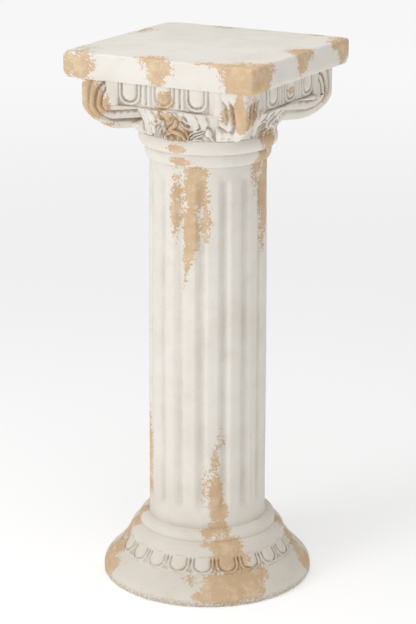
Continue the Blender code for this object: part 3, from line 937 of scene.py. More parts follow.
@dataclass
class EggBand:
    """Band of three framed eggs on each face, with bars between them and a ledge below.

    Sizes of the relief, from egg_half to ledge_long_wave, are millimetres.
    """

    face: float = 0.1300
    bottom: float = 0.7245
    top: float = 0.7660
    half_length: float = 0.0915
    chamfer: float = 0.0008
    recess: float = 0.0012
    recess_half: float = 0.0708
    pitch: float = 0.0530
    unit_half: float = 0.0183
    unit_bottom: float = 0.7285
    bars_half: float = 0.0087
    ledge_half: float = 0.0800
    ledge_height: float = 0.7262
    egg_half: float = 11.3
    egg_low: float = 6.4
    egg_height: float = 3.9
    frame_half: float = 15.2
    frame_low: float = 2.5
    frame_width: float = 2.5
    frame_height: float = 3.0
    frame_floor: float = 0.9
    outer_drop: float = 1.3
    bar_middle: float = 4.1
    bar_half: float = 3.2
    bar_height: float = 2.7
    bar_foot: float = 2.2
    groove_half: float = 0.9
    groove_depth: float = 2.0
    backing: float = 6.0
    ledge_out: float = 4.4
    ledge_thick: float = 1.0
    ledge_short_wave: float = 0.6
    ledge_long_wave: float = 0.4
    short_wave_rate: float = 95.0
    long_wave_rate: float = 41.0
    ledge_steps: int = 60
    ledge_sides: int = 8
    egg_grid: tuple[int, int] = (43, 25)
    bars_grid: tuple[int, int] = (21, 13)
    across_crowding: float = 1.35
    upward_crowding: float = 1.2

    def egg_relief(self, x: np.ndarray, y: np.ndarray) -> np.ndarray:
        """Height of a framed egg.

        Args:
            x: millimetres from the egg's middle line.
            y: millimetres above the unit's bottom.

        Returns:
            Heights in metres above the band's face.
        """
        centre = self.frame_low + self.frame_half
        below = np.clip(centre - y, 0.0, None)
        reach = np.hypot(x / self.egg_half, below / (centre - self.egg_low))
        egg = self.egg_height * crown(reach, 3.2) ** 0.8
        ring = (np.abs(x) ** 2.5 + below ** 2.5) ** 0.4
        egg = egg + self.frame_floor * smooth(self.frame_half, self.frame_half - 4.0, ring)
        frame_line = self.frame_height * crown((ring - self.frame_half) / self.frame_width, 2.2)
        outside = smooth(self.frame_half + 1.6, self.frame_half + 2.6, ring)
        return (np.maximum(egg, frame_line) - 0.7 - self.outer_drop * outside) * MM

    def bars_relief(self, x: np.ndarray, y: np.ndarray) -> np.ndarray:
        """Height of the two flat bars between two frames.

        Args:
            x: millimetres from the groove between the bars.
            y: millimetres above the unit's bottom.

        Returns:
            Heights in metres above the band's face.
        """
        bars = self.bar_height * crown((np.abs(x) - self.bar_middle) / self.bar_half, 3.5)
        groove = self.groove_depth * np.exp(-(x / self.groove_half) ** 2) * smooth(3.4, 5.4, y)
        foot = self.bar_foot * smooth(4.6, 3.2, y)
        return (np.maximum(bars, foot) * smooth(0.4, 2.2, y) - groove - 1.0) * MM

    def unit(self, name: str, half: float, relief: Relief,
             grid: tuple[int, int]) -> bpy.types.Mesh:
        """Closed panel of one unit, in place on the front face.

        Args:
            name: the mesh's name.
            half: half its width.
            relief: its height over (across, up) in millimetres.
            grid: places across and places up.

        Returns:
            The mesh.
        """
        columns, rows = grid
        up = np.linspace(0.0, 1.0, rows) ** self.upward_crowding
        x, z = np.meshgrid(spread_evenly(columns, self.across_crowding) * half,
                           self.unit_bottom + (self.top - self.unit_bottom) * up)
        height = relief(x / MM, (z - self.unit_bottom) / MM)
        rim = np.minimum(smooth(half, half - 0.7 * MM, np.abs(x)),
                         smooth(self.unit_bottom, self.unit_bottom + 0.7 * MM, z))
        height = height * rim - self.outer_drop * MM * (1.0 - rim)
        front = np.stack([x, -self.face - height, z], -1)
        back = np.stack([x, -self.face + self.backing * MM + 0.0 * x, z], -1)
        return panel_solid(name, front, back)

    def block(self) -> bpy.types.Mesh:
        """Cross-shaped block behind the eggs.

        Returns:
            The mesh.
        """
        end, face, inner = self.half_length, self.face, self.recess_half
        cut, back = self.chamfer, self.face - self.recess
        side = [(-end, cut - face), (cut - end, -face), (-inner - 2.0 * MM, -face),
                (-inner, -back), (inner, -back), (inner + 2.0 * MM, -face), (end - cut, -face),
                (end, cut - face), (end, -end)]
        outline = []
        for quarter in range(4):
            c, s = round(math.cos(quarter * QUARTER)), round(math.sin(quarter * QUARTER))
            outline += [(x * c - y * s, x * s + y * c) for x, y in side]
        rings = []
        for inset, z in ((1.5 * MM, self.bottom), (0.0, self.bottom + 1.5 * MM),
                         (0.0, self.top - 0.6 * MM)):
            rings.append([(math.copysign(abs(x) - inset, x), math.copysign(abs(y) - inset, y), z)
                          for x, y in outline])
        return ring_solid("band_block", np.array(rings))

    def ledge(self) -> bpy.types.Mesh:
        """Thin wavy ledge on the front face.

        Returns:
            The mesh.
        """
        x = np.linspace(-self.ledge_half, self.ledge_half, self.ledge_steps)
        wave = (self.ledge_short_wave * MM * np.sin(x * self.short_wave_rate)
                + self.ledge_long_wave * MM * np.sin(x * self.long_wave_rate + 1.0))
        ease = smooth(self.ledge_half, self.ledge_half - 3.0 * MM, np.abs(x))
        thick = self.ledge_thick * MM * (0.45 + 0.55 * ease)
        section = []
        for angle in np.linspace(0.0, TAU, self.ledge_sides, endpoint=False):
            y = -self.face + 0.4 * MM - self.ledge_out * MM * ease * math.cos(angle)
            z = self.ledge_height + wave + thick * math.sin(angle)
            section.append(np.stack([x, y, z], -1))
        return ring_solid("ledge", np.stack(section, 1))

    def meshes(self, material: bpy.types.Material) -> list[bpy.types.Mesh]:
        """All shapes of the band.

        Args:
            material: the finish.

        Returns:
            The block, the eggs, the bars and the ledges.
        """
        egg = self.unit("framed_egg", self.unit_half, self.egg_relief, self.egg_grid)
        bars = self.unit("bars", self.bars_half, self.bars_relief, self.bars_grid)
        return [self.block(),
                repeated("framed_eggs", egg, material, 12, in_row=3, shift=self.pitch),
                repeated("dart_bars", bars, material, 8, in_row=2, shift=self.pitch),
                repeated("ledges", self.ledge(), material, 4)]


@dataclass(frozen=True)
class Channel:
    """Channel carved on both sides of a volute, from one crest to the next.

    Shares run from 0 at the eye to 1 at the rim.
    """

    share: float
    height: float
    end: float
    depth: float


@dataclass(frozen=True)
class Knob:
    """Small rounded knob beside a volute's eye, in millimetres."""

    out: float
    deep: float
    up: float
    radii: tuple[float, float, float]


@dataclass
class Volute:
    """Corner volute like a ram's horn: curled channels on both sides of a round rim."""

    corner: Corner
    carving: float = 1.0
    outer_channels: tuple[float, float] = (1.0, 1.0)
    fade: tuple[float, float] = (0.045, 0.060)
    edge: float = 0.1308
    turn_out: float = 0.0942
    turn_z: float = 0.7245
    bottom: float = 0.6850
    bulge: float = 1.3
    eye: tuple[float, float] = (0.0905, 0.7232)
    eye_face: float = 0.1299
    top: float = 0.7660
    inner: float = 0.0900
    tail: float = 0.0780
    rounding: float = 0.0050
    heart: tuple[float, float, float] = (0.03, -0.03, 0.735)
    channels: tuple[Channel, ...] = (Channel(0.17, 0.0205, 0.15, 3.3),
                                     Channel(0.42, 0.0300, 0.53, 4.3),
                                     Channel(0.68, 0.0480, 0.92, 2.6))
    full_width: float = 0.20
    bolster_share: float = 0.38
    bolster_half: float = 0.16
    bolster_rings: float = 6.0
    bolster_depth: float = 0.7
    knobs: tuple[Knob, ...] = (Knob(1.2, 0.6, 0.0, (3.0, 2.6, 6.0)),
                               Knob(2.9, 0.9, 10.4, (2.0, 2.0, 2.4)))
    across: int = 60
    crowding: float = 1.30
    upper: int = 18
    turning: int = 20
    inward: int = 28

    def outline(self) -> list[tuple[float, float, float, float, float]]:
        """The rim seen from the side, from the slab down and inwards.

        Returns:
            Rows of (distance out, height, height above the eye, fall, way inwards). Fall runs
            from 0 at the eye's level to 1 at the bottom.
        """
        rows = []
        for step in range(self.upper):
            z = self.top + (self.turn_z - self.top) * step / self.upper
            rows.append((self.edge, z, max(z - self.eye[1], 0.0), 0.0, 0.0))
        for step in range(self.turning):
            angle = QUARTER * step / self.turning
            fall = math.sin(angle) ** self.bulge
            out = self.turn_out + (self.edge - self.turn_out) * math.cos(angle) ** self.bulge
            rows.append((out, self.turn_z - (self.turn_z - self.bottom) * fall, 0.0, fall, 0.0))
        for step in range(self.inward):
            rows.append((self.turn_out, self.bottom, 0.0, 1.0, step / (self.inward - 1)))
        return rows

    def mesh(self) -> bpy.types.Mesh:
        """Build the volute.

        Returns:
            The closed mesh, in its corner.
        """
        eye_a = (self.eye[0] + self.eye_face) / ROOT2
        eye_b = (self.eye_face - self.eye[0]) / ROOT2
        even = np.linspace(-1.0, 1.0, self.across)
        side = eye_b * np.sin(even * self.crowding) / math.sin(self.crowding)
        full = math.hypot(eye_b, self.rounding) - self.rounding
        share = 1.0 - (np.hypot(side, self.rounding) - self.rounding) / full
        places, depths = [], []
        for out, height, rise, fall, way in self.outline():
            a = eye_a + share * (out * ROOT2 - eye_a)
            a = a * (1.0 - way) + self.inner * way
            drop = share * (height - self.eye[1])
            z = np.full_like(a, height) if fall == 0.0 else self.eye[1] + drop
            places.append(np.stack([(a + side) / ROOT2, (side - a) / ROOT2, z], -1))
            depths.append(self.depth(share, side, rise, fall, way))
        grid = np.stack(places)
        normal = np.cross(np.gradient(grid, axis=1), np.gradient(grid, axis=0))
        normal /= np.maximum(np.linalg.norm(normal, axis=2, keepdims=True), 1e-9)
        normal *= np.sign((normal * (grid - np.array(self.heart))).sum(-1).mean())
        return self.closed(grid - normal * np.stack(depths)[..., None])

    def depth(self, share: np.ndarray, side: np.ndarray, rise: float, fall: float,
              way: float) -> np.ndarray:
        """Depth of the carving along one row.

        Args:
            share: 0 at the eye to 1 at the rim.
            side: distance from the rim's plane, below 0 on the left.
            rise: height above the eye.
            fall: 0 at the eye's level to 1 at the bottom.
            way: 0 at the turn to 1 at the bell.

        Returns:
            Depths in metres.
        """
        crests = [line.share * math.sqrt(max(1.0 - (rise / line.height) ** 2, 0.0))
                  + (line.end - line.share) * fall for line in self.channels] + [1.0]
        depth = np.zeros_like(share)
        for line, inner, outer in zip(self.channels, crests, crests[1:]):
            width = max(outer - inner, 0.02)
            f = np.clip((share - inner) / width, 0.0, 1.0)
            bowl = smooth(0.0, 0.30, f) * (1.0 - smooth(0.32, 1.0, f) ** 0.8)
            reach = line.depth * min(width / self.full_width, 1.0)
            if line is self.channels[-1]:
                left, right = self.outer_channels
                reach = reach * np.where(side < 0.0, left, right)
            depth = depth + reach * bowl
        start, end = self.fade
        keep = 1.0 - min(max((rise - start) / (end - start), 0.0), 1.0)
        if way > 0.0:
            inside = crown((share - self.bolster_share) / self.bolster_half, 2.0)
            rings = 0.5 + 0.5 * np.cos(TAU * (way * self.bolster_rings + share))
            depth = depth + self.bolster_depth * inside * rings
        return depth * MM * self.carving * keep

    def closed(self, grid: np.ndarray) -> bpy.types.Mesh:
        """Close the horn through the inside of the capital and turn it to its corner.

        Args:
            grid: the outer surface as (row, column, xyz).

        Returns:
            The mesh.
        """
        first = grid[:, :1].copy()
        last = grid[:, -1:].copy()
        for line in (first, last):
            b = (line[..., 0] + line[..., 1]) / ROOT2
            line[..., 0] = (self.tail + b) / ROOT2
            line[..., 1] = (b - self.tail) / ROOT2
        rings = np.concatenate([first, grid, last], axis=1)
        return ring_solid("volute", turned(rings, self.corner.value * QUARTER))

    def eyes(self) -> list[bpy.types.Mesh]:
        """Small knobs in the middle of each scroll.

        Returns:
            One mesh for each knob, on both sides of the corner.
        """
        bm = bmesh.new()
        bmesh.ops.create_uvsphere(bm, u_segments=14, v_segments=8, radius=1.0)
        ball = np.array([v.co[:] for v in bm.verts])
        faces = [[v.index for v in f.verts] for f in bm.faces]
        bm.free()
        made = []
        for mirror in (False, True):
            for knob in self.knobs:
                points = ball * np.array(knob.radii) * MM
                points += np.array([self.eye[0] + knob.out * MM, -self.eye_face + knob.deep * MM,
                                    self.eye[1] + knob.up * MM])
                if mirror:
                    points = np.stack([-points[:, 1], -points[:, 0], points[:, 2]], -1)
                turned_points = turned(points, self.corner.value * QUARTER)
                made.append(mesh_from("eye", turned_points, faces))
        return made


@dataclass(frozen=True)
class Stroke:
    """One raised leaf, stem or knob on the bell, drawn along a line, in millimetres."""

    line: Sequence[tuple[float, float]]
    widths: Sequence[float]
    height: float
    lobes: int = 0
    vein: float = 0.0
    full: float = 2.0
    folds: int = 0
    lobe_share: float = 0.09
    fold_depth: float = 0.32
    vein_half: float = 0.9
    steps: int = 24

    def path(self) -> tuple[np.ndarray, np.ndarray]:
        """Places along the smooth line, and the half width at each."""
        knots = np.array(self.line, float)
        last = max(len(knots) - 1.0, 1.0)
        t = np.linspace(0.0, len(knots) - 1.0, self.steps if len(knots) > 1 else 1)
        places = np.stack([curve_through(knots[:, axis], t) for axis in (0, 1)], -1)
        width = np.interp(t / last, np.linspace(0.0, 1.0, len(self.widths)), self.widths)
        if self.lobes:
            width = width * (1.0 + self.lobe_share * np.cos(TAU * self.lobes * t / last))
        return places, width

    def relief(self, x: np.ndarray, z: np.ndarray) -> np.ndarray:
        """Height of the stroke.

        Args:
            x: millimetres across from the face's middle.
            z: millimetres above the bell's foot.

        Returns:
            Heights in millimetres.
        """
        path, width = self.path()
        best = np.full(x.shape, 9.0)
        off = np.zeros(x.shape)
        hand = np.zeros(x.shape)
        for index in range(max(len(path) - 1, 1)):
            after = min(index + 1, len(path) - 1)
            start = path[index]
            run = path[after] - start
            length = max(float(run @ run), 1e-9)
            s = np.clip(((x - start[0]) * run[0] + (z - start[1]) * run[1]) / length, 0.0, 1.0)
            far = np.hypot(x - start[0] - s * run[0], z - start[1] - s * run[1])
            wide = width[index] + (width[after] - width[index]) * s
            reach = far / np.maximum(wide, 0.05)
            nearer = reach < best
            turn = run[0] * (z - start[1]) - run[1] * (x - start[0])
            best = np.where(nearer, reach, best)
            off = np.where(nearer, far, off)
            hand = np.where(nearer, np.sign(turn), hand)
        body = crown(best, self.full) ** 0.8
        crease = self.vein * np.exp(-(off / self.vein_half) ** 2) * (body > 0.0)
        if self.folds:
            fold = 1.0 - np.cos(math.pi * self.folds * best * hand)
            crease = crease + self.fold_depth * body * fold
        return self.height * body - crease


@dataclass
class LeafyBell:
    """Bell of the capital, with leaves, a flower, buds and curled stems in relief."""

    foot: float = 0.6765
    top: float = 0.7300
    radius: float = 0.0958
    flare: float = 0.0240
    flare_start: float = 0.6785
    flare_rise: float = 0.0460
    flare_curve: float = 1.8
    drawn_from: float = 0.6760
    leaf_half: float = math.radians(10.5)
    leaf_out: float = 0.0170
    leaf_folds: float = 4.0
    leaf_fold_depth: float = 0.12
    leaf_bottom: float = 0.6720
    leaf_swelling: float = 60.0
    leaf_bend: tuple[float, float] = (0.7010, 0.6915)
    side_shifts: tuple[float, ...] = (0.0, 1.5, -2.0, 1.0)
    side_scales: tuple[float, ...] = (1.0, 0.9, 0.8, 0.95)
    sunk: float = 0.0030
    columns: tuple[int, ...] = (200, 180, 70, 90)
    rows: int = 55

    def base_radius(self, z: np.ndarray) -> np.ndarray:
        """Radius behind the leaves at each height."""
        t = np.clip((z - self.flare_start) / self.flare_rise, 0.0, 1.0)
        return self.radius + self.flare * t ** self.flare_curve

    def corner_leaf(self, off: np.ndarray, z: np.ndarray) -> np.ndarray:
        """Plain leaf that curls out under each volute.

        Args:
            off: angle from the corner.
            z: height.

        Returns:
            Extra radius in metres.
        """
        swelling = np.clip(self.leaf_swelling * (z - self.leaf_bottom), 0.0, 1.0)
        across = crown(off / self.leaf_half, 2.0) ** 0.6
        folds = np.cos(off / self.leaf_half * math.pi * self.leaf_folds)
        fold = 1.0 - self.leaf_fold_depth * folds
        return self.leaf_out * swelling * smooth(*self.leaf_bend, z) * across * fold

    def strokes(self) -> list[Stroke]:
        """Every leaf, stem and knob of one face.

        Returns:
            The strokes, in millimetres from the face's middle and above drawn_from.
        """
        return [
            # broad scalloped leaves left and right of the middle
            Stroke([(-52, 4), (-52, 18), (-50, 33), (-50, 44)], [8, 10, 11, 8], 3.6,
                   lobes=4, vein=0.8, full=3, folds=2),
            Stroke([(-37, 10), (-37, 22), (-36, 34), (-36, 43)], [4, 6, 8, 5], 3.8,
                   lobes=3, vein=0.5, full=4, folds=3),
            Stroke([(31, 21), (33, 30), (32, 42)], [4, 8, 8], 3.6,
                   lobes=3, vein=0.5, full=4, folds=3),
            Stroke([(44, 22), (46, 32), (46, 42)], [4, 7, 7], 3.2,
                   lobes=2, vein=0.4, full=4, folds=3),
            # folds at the foot of the left leaf
            Stroke([(-60, 2), (-58, 12), (-54, 22)], [2, 3, 3], 3.6),
            Stroke([(-45, 0), (-44, 10), (-43, 20)], [2, 3, 2], 3.6),
            # small leaf between the left leaf and the flower
            Stroke([(-20, 30), (-21, 39), (-20, 46)], [3.0, 4.5, 4.5], 3.6,
                   lobes=1, vein=0.5, full=3),
            # flower under the ledge
            Stroke([(-4, 41)], [6.8], 4.6, vein=1.2, full=3),
            Stroke([(-11.5, 41)], [3.6], 3.8, full=3),
            Stroke([(3.5, 42)], [3.8], 3.8, full=3),
            Stroke([(-4, 46)], [4.2], 3.8, full=3),
            Stroke([(-4.5, 35.5)], [4.4], 4.0, full=3),
            # knobs
            Stroke([(10.6, 43.2)], [2.9], 4.6),
            Stroke([(-30.5, 23.5)], [3.0], 3.8, vein=1.6, full=3),
            Stroke([(-36, 23.5)], [2.2], 3.2),
            Stroke([(-23.5, 26)], [2.6], 3.6),
            # stems that cross below the flower
            Stroke([(-13, 31), (-15.5, 24), (-13, 17), (-7, 12), (-14, 9)],
                   [2.2, 2.4, 2.2, 2.6, 1.6], 4.0),
            Stroke([(8, 34), (5, 27), (0, 22), (-6, 17.5), (2, 15), (9, 12), (14, 7), (15, 2)],
                   [2.2, 3.2, 3.4, 3.2, 3.6, 3.8, 3.2, 2.4], 4.6),
            Stroke([(-12, 12), (-3, 13), (6, 10), (10, 4)], [1.6, 2.0, 1.9, 1.6], 3.8),
            Stroke([(14, 30), (17, 24), (25, 21.5), (29, 25)], [1.6, 2.8, 2.4, 1.4], 4.2),
            Stroke([(19, 38), (22, 32), (28, 29), (31, 33)], [1.6, 2.4, 2.2, 1.4], 3.6),
            Stroke([(18, 16), (20, 9), (19, 2)], [1.6, 1.9, 1.4], 4.0),
            # little leaf tips along the bell's foot
            Stroke([(-15.5, 4), (-15.5, 8)], [3.2, 2.2], 3.6),
            Stroke([(-4.7, 3.5), (-4.7, 8)], [3.6, 2.2], 3.8),
            Stroke([(5.2, 3.5), (5, 8)], [3.4, 2.0], 3.6),
            # upright strands at the left
            Stroke([(-36, 2), (-34, 10), (-31, 17)], [1.4, 1.6, 1.0], 3.6),
            Stroke([(-31, 1.5), (-30, 9), (-27, 17), (-24, 21)], [1.3, 1.6, 1.4, 0.9], 3.8),
            Stroke([(-26, 1.5), (-26, 8), (-23.5, 15), (-20, 19)], [1.3, 1.7, 1.4, 0.9], 3.8),
            Stroke([(-21, 2), (-21, 7), (-19, 12)], [1.2, 1.4, 0.9], 3.4),
            # fan of curled strands at the right
            Stroke([(22, 10.5), (27, 15), (35, 18), (43, 20.5)], [1.4, 1.7, 1.7, 1.2], 4.4),
            Stroke([(24, 7.5), (30, 12), (37, 14.5), (43.5, 17)], [1.3, 1.7, 1.6, 1.2], 4.2),
            Stroke([(28, 6), (34, 9.5), (41, 12.5)], [1.3, 1.6, 1.2], 4.0),
            Stroke([(24, 3), (32, 4.5), (40, 4.5)], [1.4, 2.2, 1.2], 3.6),
            Stroke([(20, 20), (26, 19.5), (30, 22)], [1.2, 1.6, 1.0], 3.8),
            # bud and its stem beside the right-hand volute
            Stroke([(49.5, 14), (50.5, 19)], [5.4, 4.0], 6.0, full=2.4),
            Stroke([(50, 12), (53, 7), (57, 1.5)], [2.4, 2.4, 2.0], 4.2),
            # plain leaf under the corner
            Stroke([(66, 2), (70, 8), (76, 12)], [5, 7, 6], 4.4, vein=0.5, full=3),
        ]

    def face_relief(self, x: np.ndarray, z: np.ndarray, side: Side) -> np.ndarray:
        """Relief over one quarter of the bell.

        Args:
            x: millimetres across from the face's middle.
            z: millimetres above the bell's foot.
            side: the face, which shifts the drawing a little.

        Returns:
            Heights in millimetres.
        """
        shift = self.side_shifts[side.value]
        total = np.zeros_like(x)
        for stroke in self.strokes():
            total = np.maximum(total, stroke.relief(x - shift, z))
        return total * self.side_scales[side.value]

    def mesh(self) -> bpy.types.Mesh:
        """Build the bell.

        Returns:
            The closed mesh.
        """
        angle = np.concatenate([
            side.middle - QUARTER / 2 + np.linspace(0.0, QUARTER, count, endpoint=False)
            for side, count in zip(Side, self.columns)])
        z = np.linspace(self.foot, self.top, self.rows)
        theta, height = np.meshgrid(angle, z)
        base = self.base_radius(height)
        relief = np.zeros_like(theta)
        for side in Side:
            near = (theta - side.middle + math.pi) % TAU - math.pi
            here = np.abs(near) <= QUARTER / 2 + 1e-6
            x = near[here] * base[here] / MM
            up = (height[here] - self.drawn_from) / MM
            leaf = self.corner_leaf(QUARTER / 2 - np.abs(near[here]), height[here])
            relief[here] = np.maximum(self.face_relief(x, up, side), leaf / MM)
        risen = smooth(self.foot, self.foot + 3.5 * MM, height)
        radius = base + relief * MM * risen - self.sunk * (1.0 - risen)
        rings = np.stack([radius * np.cos(theta), radius * np.sin(theta), height], -1)
        return ring_solid("leafy_bell", rings)


@dataclass
class Slab:
    """Square slab on top, with softened, slightly worn edges."""

    half: float = 0.1515
    bottom: float = 0.7620
    top: float = 0.8000
    corner: float = 0.0060
    top_round: float = 0.0035
    bottom_inset: float = 0.0060
    bottom_rise: float = 0.0140
    underside_inset: float = 0.0300
    top_insets: tuple[float, ...] = (0.008, 0.015, 0.025, 0.038, 0.055, 0.078, 0.105, 0.130)
    worn_width: float = 0.0120
    worn_height: float = 0.0100
    corner_width: float = 0.0200
    wave_depth: float = 0.0009
    wave_scale: float = 22.0
    wave_seed: int = 3
    chip_depth: float = 0.0022
    chip_scale: float = 70.0
    chip_seed: int = 5
    chip_share: tuple[float, float] = (0.62, 0.85)
    corner_sag: float = 0.0010
    corner_steps: int = 7
    side_steps: int = 40

    def outline(self, inset: float) -> np.ndarray:
        """Rounded square at an inset.

        Args:
            inset: how far it lies inside the widest outline.

        Returns:
            The (x, y) places.
        """
        corner = max(self.corner - 0.5 * inset, 0.002)
        centre = self.half - inset - corner
        part = []
        for step in range(self.corner_steps + 1):
            angle = QUARTER * step / self.corner_steps
            part.append((centre + corner * math.cos(angle), centre + corner * math.sin(angle)))
        part += [(x, centre + corner)
                 for x in np.linspace(centre, -centre, self.side_steps + 1)[1:-1]]
        places = []
        for quarter in range(4):
            c, s = math.cos(quarter * QUARTER), math.sin(quarter * QUARTER)
            places += [(x * c - y * s, x * s + y * c) for x, y in part]
        return np.array(places)

    def levels(self) -> list[tuple[float, float]]:
        """Insets and heights from the underside to the middle of the top.

        Returns:
            The (inset, height) pairs.
        """
        made = [(self.underside_inset, self.bottom)]
        for angle in np.linspace(0.0, QUARTER, 7):
            made.append((self.bottom_inset * (1.0 - math.sin(angle)),
                         self.bottom + self.bottom_rise * (1.0 - math.cos(angle))))
        low, high = self.bottom + self.bottom_rise, self.top - self.top_round
        made += [(0.0, low + (high - low) * step / 5) for step in range(1, 5)]
        for angle in np.linspace(0.0, QUARTER, 6):
            made.append((self.top_round * (1.0 - math.cos(angle)),
                         self.top - self.top_round * (1.0 - math.sin(angle))))
        return made + [(inset, self.top) for inset in self.top_insets]

    def mesh(self) -> bpy.types.Mesh:
        """Build the slab.

        Returns:
            The closed mesh, its top divided so that wear can be drawn on it.
        """
        rings = []
        for inset, z in self.levels():
            plan = self.outline(inset)
            rings.append(np.column_stack([plan, np.full(len(plan), z)]))
        return ring_solid("slab", self.worn(np.array(rings)))

    def worn(self, rings: np.ndarray) -> np.ndarray:
        """Wave and chip the slab's edges, always inwards.

        Args:
            rings: the places as (level, point, xyz).

        Returns:
            The moved places.
        """
        flat = rings.reshape(-1, 3).copy()
        reach = np.abs(flat[:, :2])
        near = smooth(self.half - self.worn_width, self.half - 1.0 * MM, reach.max(axis=1))
        from_edge = np.minimum(flat[:, 2] - self.bottom, self.top - flat[:, 2])
        edge = near * smooth(self.worn_height, 0.0, from_edge)
        wave = lattice_noise(flat, self.wave_scale, self.wave_seed) * self.wave_depth * near
        chips = smooth(*self.chip_share, lattice_noise(flat, self.chip_scale, self.chip_seed))
        chip = chips * self.chip_depth * edge
        corner_start = self.half - self.corner_width
        inward = (wave + chip)[:, None] * (reach > corner_start)
        flat[:, :2] -= np.sign(flat[:, :2]) * inward
        corner = smooth(corner_start, self.half, reach.min(axis=1))
        high = smooth(self.top - self.worn_width, self.top, flat[:, 2])
        flat[:, 2] -= corner * high * self.corner_sag
        return flat.reshape(rings.shape)


# Worn paint, and crevices that take soiling and painted shade


@dataclass(frozen=True)
class Patch:
    """A place where the paint is worn through, in millimetres, and how fully it is gone."""

    place: tuple[float, float, float]
    across: float
    up: float
    strength: float


